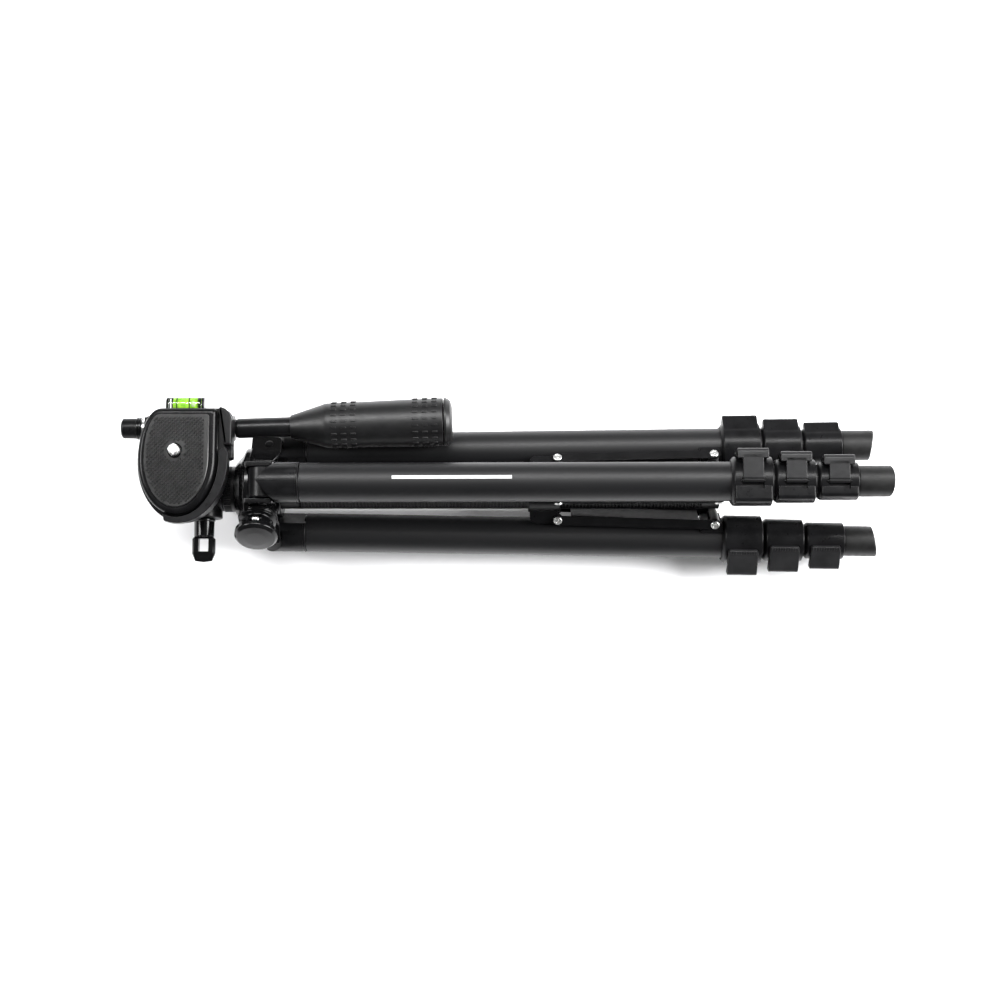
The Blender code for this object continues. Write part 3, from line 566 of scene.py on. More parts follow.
def bracket(pivot):
    """Saddle under the first tube and the lug that the brace forks over."""
    start, end, inner = pivot.x - 8.0, COLLAR_START - 0.3, TUBE_RADII[0] + 0.3
    profile = [(end, inner + 1.2, 0.4), (start, inner + 1.2, 0.4), (start, inner), (end, inner)]
    saddle = keep(lathe(profile, ring=True), block((start - 9, -9.0, -20), (end + 9, 9.0, -4.0)))
    lug = block((start + 0.6, -8.4, pivot.z), (end - 0.6, 8.4, -7.0))
    boss = rod((pivot.x, -8.4, pivot.z), (pivot.x, 8.4, pivot.z), 3.2, edge=0.3)
    lug = cut(join(lug, boss), rod((start - 9, 0, 0), (end + 9, 0, 0), inner + 0.4, edge=0, sides=ROUND))
    return soften(join(saddle, lug), 0.4)


def stripe():
    """Plain printed stripe along the outer side of the top leg's tube."""
    bm = bmesh.new()
    rows = []
    reach = TUBE_RADII[0] + 0.03
    for x in (75.0, 143.0):
        row = []
        for step in range(7):
            angle = math.radians(2.0 + 10.0 * step / 6)
            row.append(bm.verts.new((x, reach * math.sin(angle), reach * math.cos(angle))))
        rows.append(row)
    for step in range(6):
        bm.faces.new((rows[0][step], rows[1][step], rows[1][step + 1], rows[0][step + 1]))
    strip = shape_from(bm)
    thick = strip.modifiers.new("film", "SOLIDIFY")
    thick.thickness = 0.05
    thick.offset = 0
    return settle(strip)


# ---- pieces between a leg and the column, in the leg's side frame ----
def brace_line():
    start, end = Vector(HUB_PIVOT), Vector(BRACKET_PIVOT)
    return start, end, (end - start).normalized()


def brace():
    """Two flat strips joined by a web."""
    start, end, along = brace_line()
    slope = math.degrees(math.atan2(along.y, along.x))
    outline = arc(start, (2.9, 2.9), slope + 90, slope + 270, 10)
    outline += arc(end, (2.9, 2.9), slope - 90, slope + 90, 10)
    strips = [prism(outline, low, low + 0.8, "Y", 0.15, 2) for low in (-10.4, 9.6)]
    across = Vector((-along.y, along.x))
    web_from, web_to = start + along * 8.0, start + along * 83.0
    corners = [web_from - across * 1.4, web_to - across * 1.4, web_to - across * 0.2, web_from - across * 0.2]
    web = prism(corners, -10.0, 10.0, "Y", 0.1, 1)
    return join(strips[0], web, strips[1])


def rivets():
    """Domed rivet heads with a hollow middle, on both sides of both pivots."""
    shapes = []
    for at in brace_line()[:2]:
        for side in (-1, 1):
            profile = [(10.2, 0), (10.2, 2.5), (10.8, 2.5, 0.3), (11.2, 2.1, 0.3), (11.2, 1.45, 0.1)]
            profile += [(10.75, 1.25, 0.05), (10.75, 0.9, 0.05), (11.05, 0.7, 0.2), (11.1, 0)]
            head = lathe(profile, SMALL_ROUND)
            turn = Matrix.Rotation(side * math.pi / 2, 4, "Z")
            shapes.append(moved(head, Matrix.Translation((at.x, 0, at.y)) @ turn))
    return gather(shapes)


def hinge_bolts():
    """Low domed heads on the outside of a leg's two ears."""
    shapes = []
    for side in (-1, 1):
        head = lathe([(11.8, 0), (11.8, 2.4), (12.2, 2.4, 0.2), (12.4, 1.4, 1.0), (12.45, 0)], SMALL_ROUND)
        turn = Matrix.Rotation(side * math.pi / 2, 4, "Z")
        shapes.append(moved(head, Matrix.Translation((HINGE_X, 0, HINGE_OUT)) @ turn))
    return gather(shapes)


# ---- pieces on the column, in the tripod's frame ----
def crown():
    """Shoulder casting with a coved neck, three pairs of ears and the crank's boss."""
    profile = [(-127.4, BORE_RADIUS, 0.3), (-127.4, 16.5, 0.7), (-144.5, 16.5, 7.0), (-144.5, 24.0, 0.5)]
    profile += [(-147.5, 24.0, 1.4), (-150.6, 19.0, 1.6), (-154.1, 15.0, 0.5), (-154.1, BORE_RADIUS, 0.3)]
    body = lathe(profile, 96, ring=True, steps=8)
    far, top = HINGE_X + 7.2, HINGE_OUT + 5.4
    outline = rounded([
        (-146.5, 11.8), (far - 4.0, 11.8), (far, 18.0, 3.0), (far, top, 2.4), (-146.5, top, 1.0),
    ])
    for turn in (0, 120, 240):
        for low in (-12.0, 9.1):
            body = join(body, about_column(prism(outline, low, low + 2.9, "Y", 0.45), turn))
    boss = rod((0, 0, 13.0), (0, 0, 22.5), 11.4, 11.0, 0.9, ROUND)
    rim = moved(lathe([(20.4, 10.6), (20.4, 11.5, 0.3), (21.6, 11.5, 0.3), (21.6, 10.6)], ring=True),
                Matrix.Rotation(-math.pi / 2, 4, "Y"))
    room = [
        rod((0, 0, 22.5), (0, 0, 50), 12.8, edge=0, sides=ROUND),
        rod((0, 0, 10), (0, 0, 30), 3.4, edge=0),
    ]
    for shape in [boss, rim] + room:
        about_column(moved(shape, Matrix.Translation((CRANK_X, 0, 0))), CRANK_TURN)
    return gather([cut(join(body, boss), *room), rim])


def crank_frame():
    """Matrix that lays X along the crank's shaft, with Z up."""
    out = Matrix.Rotation(math.radians(CRANK_TURN), 4, "X") @ Vector((0, 0, 1))
    return Matrix.Translation((CRANK_X, 0, 0)) @ out.to_track_quat("X", "Z").to_matrix().to_4x4()


def crank():
    """Column crank with a waist, a notch for its folding pin and a gently domed face."""
    profile = [(37.0, 0), (36.7, 6.0, 8.0), (36.0, 10.9, 1.5), (34.4, 12.5, 1.0)]
    profile += [(31.5, 12.5, 0.6), (30.0, 9.2, 1.2), (24.6, 9.0, 0.8), (23.6, 11.0, 0.4), (22.8, 11.0, 0.2)]
    profile += [(22.8, 3.0), (12.5, 3.0), (12.5, 0)]
    notch = block((24.9, -3.4, 5.2), (32.6, 3.4, 15.0), 0.6)
    return moved(cut(lathe(profile), notch), crank_frame())


def crank_pin():
    """Pin that the crank's face folds on."""
    pin = rod((27.6, -2.1, 7.4), (27.6, 2.1, 7.4), 1.7, edge=0.9)
    return moved(pin, crank_frame())


def column_tube():
    inner = COLUMN_RADIUS - 1.2
    profile = [(COLUMN_END, COLUMN_RADIUS, 0.4), (COLUMN_TOP, COLUMN_RADIUS, 0.2), (COLUMN_TOP, inner)]
    tube_shape = lathe(profile + [(COLUMN_END, inner, 0.2)], ring=True)
    groove = block((-118.0, -2.9, COLUMN_RADIUS - 0.8), (118.0, 2.9, COLUMN_RADIUS + 2))
    return cut(tube_shape, about_column(groove, CRANK_TURN))


def column_rack():
    """Toothed strip let into the column, which the crank's pinion drives."""
    outline = [(-117.8, COLUMN_RADIUS - 1.0), (117.8, COLUMN_RADIUS - 1.0)]
    teeth = 117
    for number in range(teeth):
        x = 117.0 - 2.0 * number
        for step, rise in ((0.0, -0.65), (-0.6, -0.1), (-1.0, -0.1), (-1.6, -0.65)):
            outline.append((x + step, COLUMN_RADIUS + rise))
    return about_column(prism(outline, -2.7, 2.7, "Y"), CRANK_TURN)


def hub():
    """Sliding hub with two cheeks for each brace."""
    profile = [(35.2, BORE_RADIUS, 0.2), (35.2, 13.4, 0.8), (16.4, 13.4, 0.8), (16.4, BORE_RADIUS, 0.2)]
    body = lathe(profile, ring=True)
    outline = [(17.4, 9.2), (33.3, 9.2)] + arc(HUB_PIVOT, (2.8, 2.8), -90, 90, 10)
    outline += rounded([(33.8, 18.4), (17.4, 18.4, 4.0), (17.4, 9.2)])[1:-1]
    for turn in (0, 120, 240):
        for low in (-8.4, 5.8):
            body = join(body, about_column(prism(outline, low, low + 2.6, "Y", 0.35), turn))
    return cut(body, rod((0, 0, 0), (100, 0, 0), BORE_RADIUS - 0.05, edge=0, sides=ROUND))


# ---- head pieces, in the tripod's frame ----
def pan_ring():
    """Base ring with a fine knurl, its plug and the head's spigot."""
    def knurl(x, radius, angle):
        return radius - (0.35 if -160.6 < x < -156.4 and math.sin(60 * angle) > 0 else 0.0)

    profile = [(-140.0, 0), (-140.0, 10.0, 0.5), (-154.4, 10.0), (-154.4, 13.4, 0.3), (-156.3, 13.4, 0.1)]
    profile += [(-156.5, 13.3), (-160.5, 13.3), (-160.7, 13.4, 0.1), (-161.4, 13.4, 0.3), (-161.4, 6.0)]
    return lathe(profile + [(-166.0, 6.0, 0.3), (-166.0, 0)], 240, radius_at=knurl)


def pan_neck():
    """Neck that turns on the base ring and carries the barrel of the tilt hinge."""
    neck = rod((TILT_X, 0, 0), (-161.7, 0, 0), 13.0, edge=0.6, sides=ROUND)
    barrel = rod((TILT_X, -17.4, 0), (TILT_X, 15.0, 0), 10.5, edge=0.7, sides=ROUND)
    boss = rod((PAN_KNOB_X, 0, -8.0), (PAN_KNOB_X, 0, -17.5), 6.2, edge=0.5)
    bores = [rod((-166.3, 0, 0), (-150, 0, 0), 6.3, edge=0)]
    bores.append(rod((TILT_X, -30, 0), (TILT_X, 30, 0), 3.4, edge=0))
    bores.append(rod((PAN_KNOB_X, 0, -9), (PAN_KNOB_X, 0, -30), 2.9, edge=0))
    return cut(join(neck, barrel, boss), *bores)


def pan_knob():
    """Six-lobed knob on its stem."""
    def lobes(x, radius, angle):
        return radius - (0.9 * (0.5 - 0.5 * math.cos(6 * angle)) ** 2 if radius > 5.5 else 0.0)

    profile = [(10.0, 0), (10.0, 2.5, 0.3), (18.5, 2.5), (18.5, 7.0, 0.8), (38.0, 7.0, 0.8), (38.0, 4.0)]
    knob = lathe(profile + [(37.4, 3.6, 0.2), (37.4, 0)], 96, radius_at=lobes)
    return moved(knob, Matrix.Translation((PAN_KNOB_X, 0, 0)) @ Matrix.Rotation(math.pi / 2, 4, "Y"))


def tilt_knob():
    """Round cap with an open paddle grip, and the shaft of the tilt hinge."""
    cap_profile = [(17.7, 0), (17.7, 6.4, 0.3), (18.9, 6.4, 0.3), (19.3, 5.9, 0.2)]
    cap_profile += [(28.4, 5.75, 0.8), (28.4, 0)]
    cap = moved(lathe(cap_profile), Matrix.Rotation(-math.pi / 2, 4, "Z"))
    shaft = rod((0, -19.0, 0), (0, 20.0, 0), 3.0)
    corners = []
    for x in (-1, 1):
        for z in (-1, 1):
            corners += [(x * 4.9, -27.6, z * 2.0), (x * 6.65, -29.6, z * 1.5), (x * 5.7, -29.2, z * 2.4)]
            corners += [(x * 6.65, -38.0, z * 1.2), (x * 5.7, -37.4, z * 2.4), (x * 4.9, -42.4, z * 0.7)]
            corners += [(0.0, -43.1, z * 0.6)]
    paddle = hull(corners, 0.2)
    window = block((-2.9, -36.9, -10), (2.9, -29.4, 10), 0.3)
    body = join(cut(paddle, window), cap, shaft)
    return moved(body, Matrix.Translation((TILT_X, 0, 0)))


def tilt_arm():
    """Side arm on the tilt shaft with the barrel of the flip hinge."""
    disc = rod((TILT_X, 15.3, 0), (TILT_X, 26.0, 0), 11.2, edge=0.8, sides=ROUND)
    web = block((-184.2, 18.5, -6.0), (-165.6, FLIP_AXIS[0], 18.0), 1.0)
    barrel = rod((-188.0, *FLIP_AXIS), (-165.2, *FLIP_AXIS), 8.0, edge=0.5, sides=ROUND)
    bores = [rod((TILT_X, 0, 0), (TILT_X, 20.4, 0), 3.4, edge=0)]
    bores.append(rod((-250, *FLIP_AXIS), (-100, *FLIP_AXIS), 3.4, edge=0))
    return cut(join(disc, web, barrel), *bores)


def plate_outline(grow=0.0):
    """Egg-shaped edge: a straight top and right side, and an elliptical bottom and left."""
    left, right, top, waist, bottom = -206.8 - grow, -161.1 + grow, 42.5 + grow, 13.0, -19.8 - grow
    middle = (left + right) / 2
    corner = max(3.0 + grow, 1.5)
    shoulder = -193.6
    points = arc((right - corner, top - corner), (corner, corner), 0, 90, 6)
    points += arc((shoulder, waist), (shoulder - left, top - waist), 90, 180, 20)
    return points + arc((middle, waist), (right - middle, waist - bottom), 180, 360, 44)[1:]


SCREW_AT = (-184.8, 17.1)


def stack(levels):
    """A solid whose outline is the plate's, grown by a different amount at each height."""
    bm = bmesh.new()
    rows = [[bm.verts.new((*point[:2], height)) for point in plate_outline(grow)] for grow, height in levels]
    for first, second in zip(rows, rows[1:]):
        for number in range(len(first)):
            after = (number + 1) % len(first)
            bm.faces.new((first[number], first[after], second[after], second[number]))
    bm.faces.new(rows[0])
    bm.faces.new(rows[-1])
    return shape_from(bm)


def camera_plate():
    """Plate with a stepped, well-rounded rim and a recess for the screw's head."""
    levels = [(-0.3, PLATE_BASE), (0.0, PLATE_BASE + 0.3), (0.0, PLATE_BASE + 2.0), (-0.3, PLATE_BASE + 2.3)]
    levels += [(-0.9, PLATE_BASE + 2.4), (-0.9, PLATE_BASE + 2.8), (-0.5, PLATE_BASE + 3.0)]
    rim = 3.0
    for step in range(8):
        angle = math.radians(90 * step / 7)
        levels.append((-0.5 - rim * (1 - math.cos(angle)), PLATE_TOP - rim * (1 - math.sin(angle))))
    x, y = SCREW_AT
    hole = rod((x, y, PLATE_BASE - 9), (x, y, PLATE_TOP + 9), 3.5, edge=0)
    recess = rod((x, y, PLATE_BASE - 9), (x, y, PLATE_BASE + 3.0), 8.2, edge=0)
    return cut(stack(levels), hole, recess)


def inside(point, outline):
    """Whether a point is inside an outline."""
    x, y = point
    crossings = 0
    for first, second in zip(outline, outline[1:] + outline[:1]):
        if (first[1] > y) != (second[1] > y):
            share = (y - first[1]) / (second[1] - first[1])
            crossings += x < first[0] + share * (second[0] - first[0])
    return crossings % 2 == 1


def pad():
    """Rubber pad covered in small pyramids set on the diagonal."""
    x, y = SCREW_AT
    base = stack([(-4.5, PLATE_TOP + 0.1), (-4.5, PAD_TOP - 0.7), (-4.8, PAD_TOP - 0.45)])
    base = cut(base, rod((x, y, PLATE_TOP - 9), (x, y, PAD_TOP + 9), 4.4, edge=0))
    border, pitch = plate_outline(-5.9), 1.25
    bm = bmesh.new()
    bm.from_mesh(base.data)
    bpy.data.objects.remove(base)
    for column in range(-15, 16):
        for row in range(-25, 26):
            centre = Vector((-184.0 + pitch * column, 12.0 + pitch * row))
            near_screw = (centre - Vector(SCREW_AT)).length < 6.0
            if (column + row) % 2 or near_screw or centre.x > -168.4 or not inside(centre, border):
                continue
            placed = Matrix.Translation((*centre, PAD_TOP - 0.25))
            bmesh.ops.create_cone(
                bm, cap_ends=True, segments=4, radius1=1.05, radius2=0.3, depth=0.5, matrix=placed
            )
    return shape_from(bm)


def plate_screw():
    """Quarter-inch screw: threaded shank with a slotted end and a wide flat head."""
    pitch, depth, sides = 1.27, 0.45, 48
    bm = bmesh.new()
    rows = []
    height = PLATE_BASE + 3.0
    top = PAD_TOP + 4.9
    while height < top - 0.5:
        row = []
        for side in range(sides):
            turn = side / sides
            phase = (height / pitch - turn) % 1.0
            radius = 3.175 - depth * abs(2 * phase - 1)
            angle = math.tau * turn
            row.append(bm.verts.new((radius * math.cos(angle), radius * math.sin(angle), height)))
        rows.append(row)
        height += pitch / 12
    for radius, height in ((2.75, top - 0.25), (2.3, top)):
        points = arc((0, 0), (radius, radius), 0, 360, sides)[:-1]
        rows.append([bm.verts.new((*point, height)) for point in points])
    for first, second in zip(rows, rows[1:]):
        for side in range(sides):
            after = (side + 1) % sides
            bm.faces.new((first[side], first[after], second[after], second[side]))
    bm.faces.new(rows[0])
    bm.faces.new(rows[-1])
    shank = shape_from(bm)
    head = rod((0, 0, PLATE_BASE + 0.6), (0, 0, PLATE_BASE + 2.6), 7.5, edge=0.3)
    core = rod((0, 0, PLATE_BASE + 2.0), (0, 0, PLATE_BASE + 3.6), 2.6, edge=0)
    slot = block((-0.6, -5, top - 1.2), (0.6, 5, top + 2))
    return moved(cut(join(shank, core, head), slot), Matrix.Translation((*SCREW_AT, 0)))


def plate_seat():
    """Platform under the plate: knuckles below, a raised end and the level's cradle."""
    low, high, right = 22.0, SLAB_TOP, -153.0
    outline = [(right, 14.0), (right, 36.0)] + arc((right - 8.0, 36.0), (8.0, 7.0), 10, 90, 8)
    outline += [(-168.0, 43.0), (-169.0, 39.5), (-193.0, 39.5)]
    outline += arc((-193.6, 13.0), (13.9, 26.5), 90, 180, 20)[1:]
    outline += arc((-181.5, 13.0), (26.0, 36.0), 180, 360, 44)[1:]
    slab = prism(outline, low, high, edge=0.9)
    wall_outline = rounded([(-160.5, 20.6, 0.8), (right, 20.6, 1.2), (right, 24.0)])
    wall_outline += arc((-160.5, 34.2), (right + 160.5, 8.6), 0, 90, 16)
    wall = prism(wall_outline, high - 2.0, 35.2, edge=1.3, segments=4)
    knuckles = []
    for start, end in ((-205.5, -188.3), (-164.9, -154.3)):
        knuckles.append(rod((start, *FLIP_AXIS), (end, *FLIP_AXIS), 7.4, edge=0.5, sides=ROUND))
        knuckles.append(block((start + 0.2, 28.0, 12.0), (end - 0.2, 39.0, low + 1.0), 0.5))
    cradle = block((-190.0, 36.0, 19.0), (-172.0, 48.0, low + 1.0), 0.6)
    body = join(slab, wall, *knuckles, cradle)
    vial_room = rod((-193.5, *VIAL_AT), (-168.5, *VIAL_AT), 5.3, edge=0, sides=ROUND)
    shaft_room = rod((-250, *FLIP_AXIS), (-100, *FLIP_AXIS), 3.4, edge=0)
    arm_room = rod((-188.3, *FLIP_AXIS), (-164.9, *FLIP_AXIS), 8.4, edge=0, sides=ROUND)
    return cut(body, vial_room, shaft_room, arm_room)


def at_vial(profile, sides=48, ring=False):
    return moved(lathe(profile, sides, ring), Matrix.Translation((0, *VIAL_AT)))


def level_rings():
    shapes = []
    for x in (-185.6, -178.4):
        ring = [(x - 0.3, 4.45), (x - 0.3, 4.68), (x + 0.3, 4.68), (x + 0.3, 4.45)]
        shapes.append(at_vial(ring, ring=True))
    return gather(shapes)


def level_caps():
    shapes = []
    for outer, inner in ((-192.0, -190.6), (-170.0, -171.4)):
        shapes.append(at_vial([(outer, 0), (outer, 4.4, 0.6), (inner, 4.7, 0.2), (inner, 0)]))
    return gather(shapes)


def release_lever():
    """Curved lever that hugs the plate's right and lower edge, with a thumb tip."""
    inner = arc((-183.95, 13.0), (23.7, 33.6), 0, -108, 30)
    outer = arc((-182.75, 13.0), (27.8, 37.2), -106, 0, 30)
    band = prism(inner + outer, SLAB_TOP + 0.3, 35.0, edge=0.5, segments=3)
    tip_outline = rounded([
        (-160.2, 11.0), (-155.0, 11.0), (-154.9, 16.0, 2.0), (-156.6, 20.2, 0.8), (-160.2, 17.2, 0.6),
    ])
    tip = prism(tip_outline, SLAB_TOP + 0.3, 35.0, edge=0.5, segments=3)
    return join(band, tip)


def front_knob():
    """Round knob at the head's front, which locks the flip."""
    profile = [(-196.0, 0), (-196.0, 3.0, 0.3), (-211.0, 3.0), (-211.0, 5.6, 0.2), (-211.7, 6.0, 0.3)]
    profile += [(-219.2, 5.9, 0.9), (-220.2, 4.8, 0.8), (-220.2, 0)]
    return moved(lathe(profile), Matrix.Translation((0, *FLIP_AXIS)))


def front_collar():
    """Grooved collar behind the front knob."""
    profile = [(-211.3, 3.1), (-211.3, 6.6, 0.4), (-210.2, 6.6, 0.2), (-210.0, 6.1)]
    profile += [(-209.6, 6.1), (-209.4, 6.6, 0.2), (-208.3, 6.6, 0.4), (-208.3, 3.1)]
    return moved(lathe(profile, ring=True), Matrix.Translation((0, *FLIP_AXIS)))


def front_washer():
    """Plated washer between the collar and the head."""
    profile = [(-208.2, 3.1), (-208.2, 5.0, 0.3), (-205.9, 5.0, 0.5), (-205.9, 3.1)]
    return moved(lathe(profile, ring=True), Matrix.Translation((0, *FLIP_AXIS)))


# ---- handle pieces, in the handle's frame ----
def handle_shaft():
    """Rod with a shoulder, and the thinner end that screws into the head."""
    profile = [(54.0, 0), (54.0, 5.8, 0.3), (1.6, 5.8, 0.2), (1.2, 5.4), (0.3, 5.4, 0.2)]
    profile += [(0.3, 2.9), (-9.0, 2.9, 0.4), (-9.0, 0)]
    return lathe(profile)


def handle_grip():
    """Rubber grip with two bands of raised dashes."""
    neck_end, neck_radius, taper = 53.0, 13.05, 0.0142
    dash_spacing, dash_rows = 5.6, 22
    profile = [(121.1, 0), (121.1, 13.6), (120.8, 14.0, 0.3), (116.0, 14.0)]
    profile += [(neck_end, neck_radius, 8.0), (32.2, 6.7, 0.3), (32.2, 6.1), (54.5, 6.1), (54.5, 0)]
    shapes = [lathe(profile, 96, steps=8)]
    for first in (57.9, 105.0):
        for column in range(3):
            x = first + dash_spacing * column
            surface = neck_radius + (x - neck_end) * taper
            for row in range(dash_rows):
                dash = block((x - 1.6, -0.6, surface - 0.4), (x + 1.6, 0.6, surface + 0.55), 0.2, 1)
                shapes.append(moved(dash, Matrix.Rotation(math.tau * row / dash_rows, 4, "X")))
    return gather(shapes)


def grip_cap():
    """Domed end of the grip."""
    profile = [(126.3, 0), (126.3, 9.4, 2.0), (125.3, 12.6, 2.0), (122.9, 14.05, 0.6)]
    profile += [(121.7, 14.05, 0.2), (121.5, 13.4), (121.5, 0)]
    return lathe(profile, 96, steps=6)


# ---- assembly ----
def build_legs():
    """Make each leg piece once and place it on all three legs."""
    pivot = LEGS[1].inverted() @ Vector(joints["leg_1_brace_pivot"]["pos_m"]) / MM
    casting = finished(tongue_casting(), PLASTIC)
    tubes = [finished(tube(index), ANODISED) for index in range(4)]
    housings = [finished(lock_housing(index), PLASTIC) for index in range(3)]
    levers = [finished(lock_lever(index), LEVER_PLASTIC) for index in range(3)]
    pins = [finished(lever_pin(index), STEEL_PAINT) for index in range(3)]
    foot = finished(rubber_foot(), RUBBER)
    saddle = finished(bracket(pivot), PLASTIC)
    strips = finished(brace(), STEEL_PAINT)
    heads = finished(rivets(), NICKEL)
    bolts = finished(hinge_bolts(), STEEL_PAINT)
    for leg, at in LEGS.items():
        name = f"leg_{leg}"
        piece(f"{name}_tongue_casting", casting, name, "black_plastic", at, f"{name}_top_casting")
        piece(f"{name}_bracket", saddle, name, "black_plastic", at, f"{name}_brace_bracket")
        piece(f"{name}_brace_strips", strips, f"{name}_brace", "painted_steel", SIDES[leg], f"{name}_brace")
        piece(f"{name}_brace_rivets", heads, f"{name}_brace", "plated_steel", SIDES[leg])
        piece(f"{name}_hinge_bolts", bolts, "crown", "painted_steel", SIDES[leg])
        for index in range(4):
            section = index + 1
            body = name if index == 0 else f"{name}_section_{section}"
            piece(f"{name}_section_tube_{section}", tubes[index], body, "anodised_tube", at,
                  f"{name}_tube_{section}")
            if index == 3:
                piece(f"{name}_rubber_foot", foot, body, "rubber", at, f"{name}_foot")
                continue
            lever_body = f"{name}_lever_{section}"
            piece(f"{name}_lock_housing_{section}", housings[index], body, "black_plastic", at,
                  f"{name}_collar_{section}")
            piece(f"{name}_lock_lever_{section}", levers[index], lever_body, "black_plastic", at, lever_body)
            piece(f"{name}_lever_pin_{section}", pins[index], body, "painted_steel", at)
    piece("leg_1_plain_stripe", finished(stripe(), PRINT), "leg_1", "anodised_tube", LEGS[1])


def build_column():
    """Crown, crank, column and the hub that slides on it."""
    piece("crown_casting", finished(crown(), GLOSSY), "crown", "black_plastic", TRIPOD, "crown")
    piece("crank_knob", finished(crank(), GLOSSY), "crank", "black_plastic", TRIPOD, "crank")
    piece("crank_fold_pin", finished(crank_pin(), NICKEL), "crank", "plated_steel", TRIPOD)
    piece("column_tube", finished(column_tube(), ANODISED), "column", "anodised_tube", TRIPOD, "column")
    piece("column_rack", finished(column_rack(), STEEL_PAINT), "column", "painted_steel", TRIPOD)
    piece("sliding_hub", finished(hub(), PLASTIC), "spreader_hub", "black_plastic", TRIPOD, "spreader_hub")


def build_head():
    """Pan, tilt and flip pieces, the level, the plate and the handle."""
    piece("pan_scale_ring", finished(pan_ring(), PLASTIC), "column", "black_plastic", TRIPOD, "pan_base")
    piece("pan_neck", finished(pan_neck(), PLASTIC), "pan_body", "black_plastic", TRIPOD, "pan_body")
    piece("pan_knob", finished(pan_knob(), PLASTIC), "pan_lock_knob", "black_plastic", TRIPOD,
          "pan_lock_knob")
    piece("tilt_knob", finished(tilt_knob(), GLOSSY), "tilt_lock_knob", "black_plastic", TRIPOD,
          "tilt_lock_knob")
    piece("tilt_arm", finished(tilt_arm(), PLASTIC), "tilt_block", "black_plastic", TRIPOD, "tilt_block")
    piece("plate_seat", finished(plate_seat(), PLASTIC), "platform", "black_plastic", TRIPOD, "platform")
    vial = at_vial([(-190.6, 0), (-190.6, 4.6, 0.5), (-171.4, 4.6, 0.5), (-171.4, 0)])
    fluid = at_vial([(-188.0, 0), (-188.0, 3.9, 1.0), (-174.0, 3.9, 1.0), (-174.0, 0)])
    air = at_vial([(-178.2, 0), (-177.4, 2.0, 1.5), (-174.9, 2.0, 1.5), (-174.2, 0)])
    moved(air, Matrix.Translation((0, 0, 2.4)))
    piece("level_vial", finished(vial, CLEAR), "platform", "level_vial", TRIPOD, "bubble_level")
    piece("level_fluid", finished(fluid, FLUID_WITH_PAINTED_GLOW), "platform", "level_vial", TRIPOD)
    piece("level_bubble", finished(air, BUBBLE), "platform", "level_vial", TRIPOD)
    piece("level_rings", finished(level_rings(), STEEL_PAINT), "platform", "painted_steel", TRIPOD)
    piece("level_caps", finished(level_caps(), GLOSSY), "platform", "black_plastic", TRIPOD)
    piece("release_lever", finished(release_lever(), PLASTIC), "qr_lever", "black_plastic", TRIPOD,
          "qr_lever")
    plate_body = "quick_release_plate"
    piece("camera_plate", finished(camera_plate(), PLATE_PLASTIC), plate_body, "black_plastic", TRIPOD,
          plate_body)
    piece("camera_plate_pad", finished(pad(), PAD_RUBBER), plate_body, "rubber", TRIPOD, "plate_pad")
    piece("plate_screw", finished(plate_screw(), NICKEL), "camera_screw", "plated_steel", TRIPOD,
          "camera_screw")
    piece("front_knob", finished(front_knob(), PLASTIC), "flip_lock_knob", "black_plastic", TRIPOD,
          "flip_lock_knob")
    piece("front_knob_collar", finished(front_collar(), GLOSSY), "flip_lock_knob", "black_plastic", TRIPOD)
    piece("front_knob_washer", finished(front_washer(), NICKEL), "flip_lock_knob", "plated_steel", TRIPOD)
    piece("handle_shaft", finished(handle_shaft(), STEEL_PAINT), "handle", "painted_steel", HANDLE,
          "handle_rod")
    piece("handle_rubber_grip", finished(handle_grip(), GRIP), "handle", "grip_rubber", HANDLE, "handle_grip")
    piece("handle_end_cap", finished(grip_cap(), GRIP), "handle", "grip_rubber", HANDLE)


# ---- floor, light and camera ----
def build_floor():
    """Plain white floor, with a faint glow so that it stays white away from the lamps."""
    floor_half_side = 12.0
    bm = bmesh.new()
    bmesh.ops.create_grid(bm, x_segments=1, y_segments=1, size=floor_half_side)
    floor = shape_from(bm)
    floor.name = "floor"
    white = paint(
        "floor_paper", (0.80, 0.80, 0.81), (0.83, 0.83, 0.84), (0.75, 0.85), 0.8, 0.02, 60.0,
        Emission_Color=(1.0, 1.0, 1.0, 1.0), Emission_Strength=0.08,
    )
    floor.data.materials.append(white)


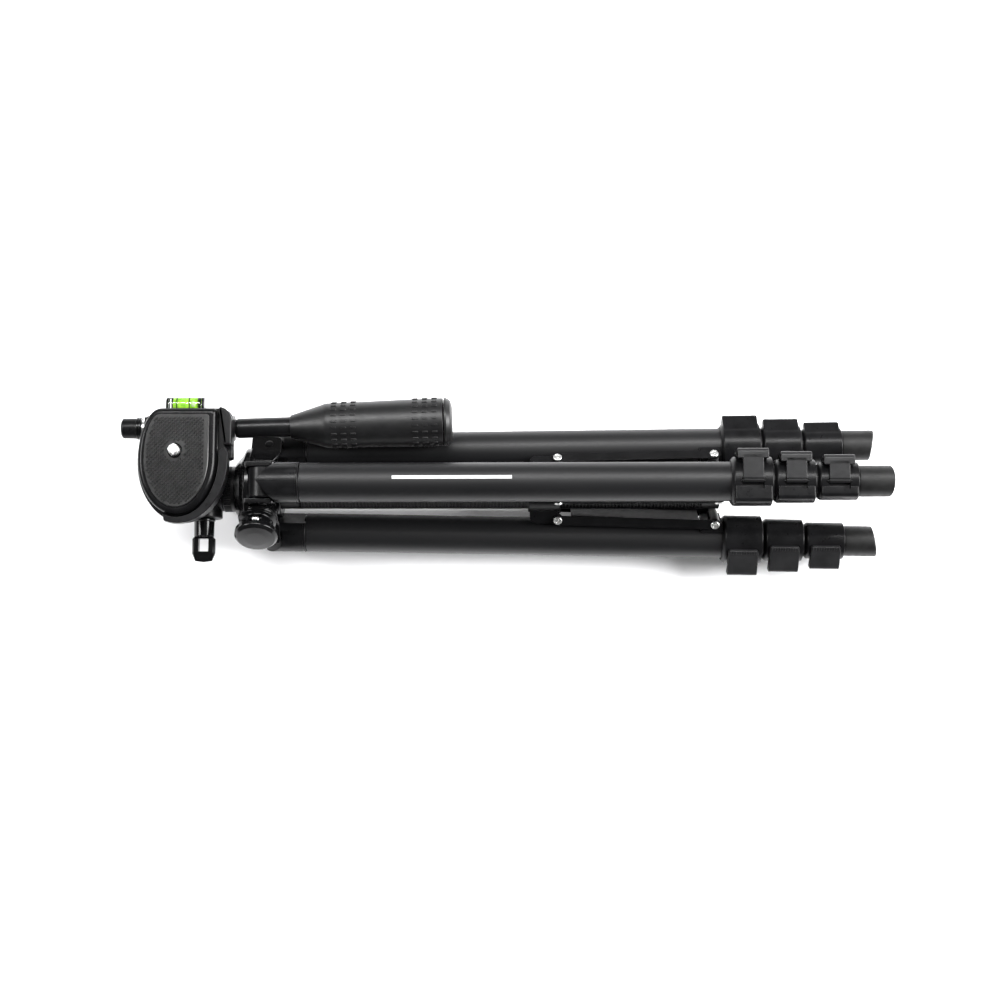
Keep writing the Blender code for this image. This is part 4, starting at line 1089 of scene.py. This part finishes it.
def area_light(name, at, aim, size, power):
    """A soft rectangular lamp that faces a point."""
    lamp = bpy.data.lights.new(name, "AREA")
    lamp.shape = "RECTANGLE"
    lamp.size, lamp.size_y = size
    lamp.energy = power
    obj = bpy.data.objects.new(name, lamp)
    bpy.context.scene.collection.objects.link(obj)
    obj.location = at
    obj.rotation_euler = (Vector(aim) - Vector(at)).to_track_quat("-Z", "Y").to_euler()


def build_light():
    """A pale world, darker on the near side, and three soft lamps."""
    near_strength, far_strength = 0.12, 0.42
    world = bpy.data.worlds.new("studio")
    bpy.context.scene.world = world
    world.use_nodes = True
    tree = world.node_tree
    direction = tree.nodes.new("ShaderNodeTexCoord")
    parts = tree.nodes.new("ShaderNodeSeparateXYZ")
    strength = tree.nodes.new("ShaderNodeMapRange")
    strength.inputs["From Min"].default_value = -1.0
    strength.inputs["From Max"].default_value = 1.0
    strength.inputs["To Min"].default_value = near_strength
    strength.inputs["To Max"].default_value = far_strength
    tree.links.new(direction.outputs["Generated"], parts.inputs["Vector"])
    tree.links.new(parts.outputs["Y"], strength.inputs["Value"])
    tree.links.new(strength.outputs["Result"], tree.nodes["Background"].inputs["Strength"])
    tree.nodes["Background"].inputs["Color"].default_value = (1.0, 1.0, 1.0, 1.0)
    area_light("overhead", (0.0, 0.80, 1.76), (0, 0, 0), (1.6, 0.30), 64.0)
    area_light("right_side", (1.5, 0.1, 0.95), (0, 0, 0), (0.8, 1.2), 100.0)
    area_light("left_side", (-1.2, 0.25, 1.1), (0, 0, 0), (0.5, 0.5), 22.0)


def build_camera():
    """Camera almost straight above, leaning a little towards the near side."""
    lean, distance, aim_y = 7.6, 1.062, -6.4  # degrees, metres, millimetres
    film_width, focal_length = 36.0, 65.2
    aim = TRIPOD @ Vector((0, aim_y * MM, 0))
    lens = bpy.data.cameras.new("camera")
    lens.sensor_width = film_width
    lens.lens = focal_length
    camera = bpy.data.objects.new("camera", lens)
    bpy.context.scene.collection.objects.link(camera)
    tilt = math.radians(lean)
    camera.location = aim + distance * Vector((0, -math.sin(tilt), math.cos(tilt)))
    camera.rotation_euler = (tilt, 0, 0)
    bpy.context.scene.camera = camera


build_legs()
build_column()
build_head()
build_floor()
build_light()
build_camera()
bpy.context.scene.view_settings.view_transform = "Standard"
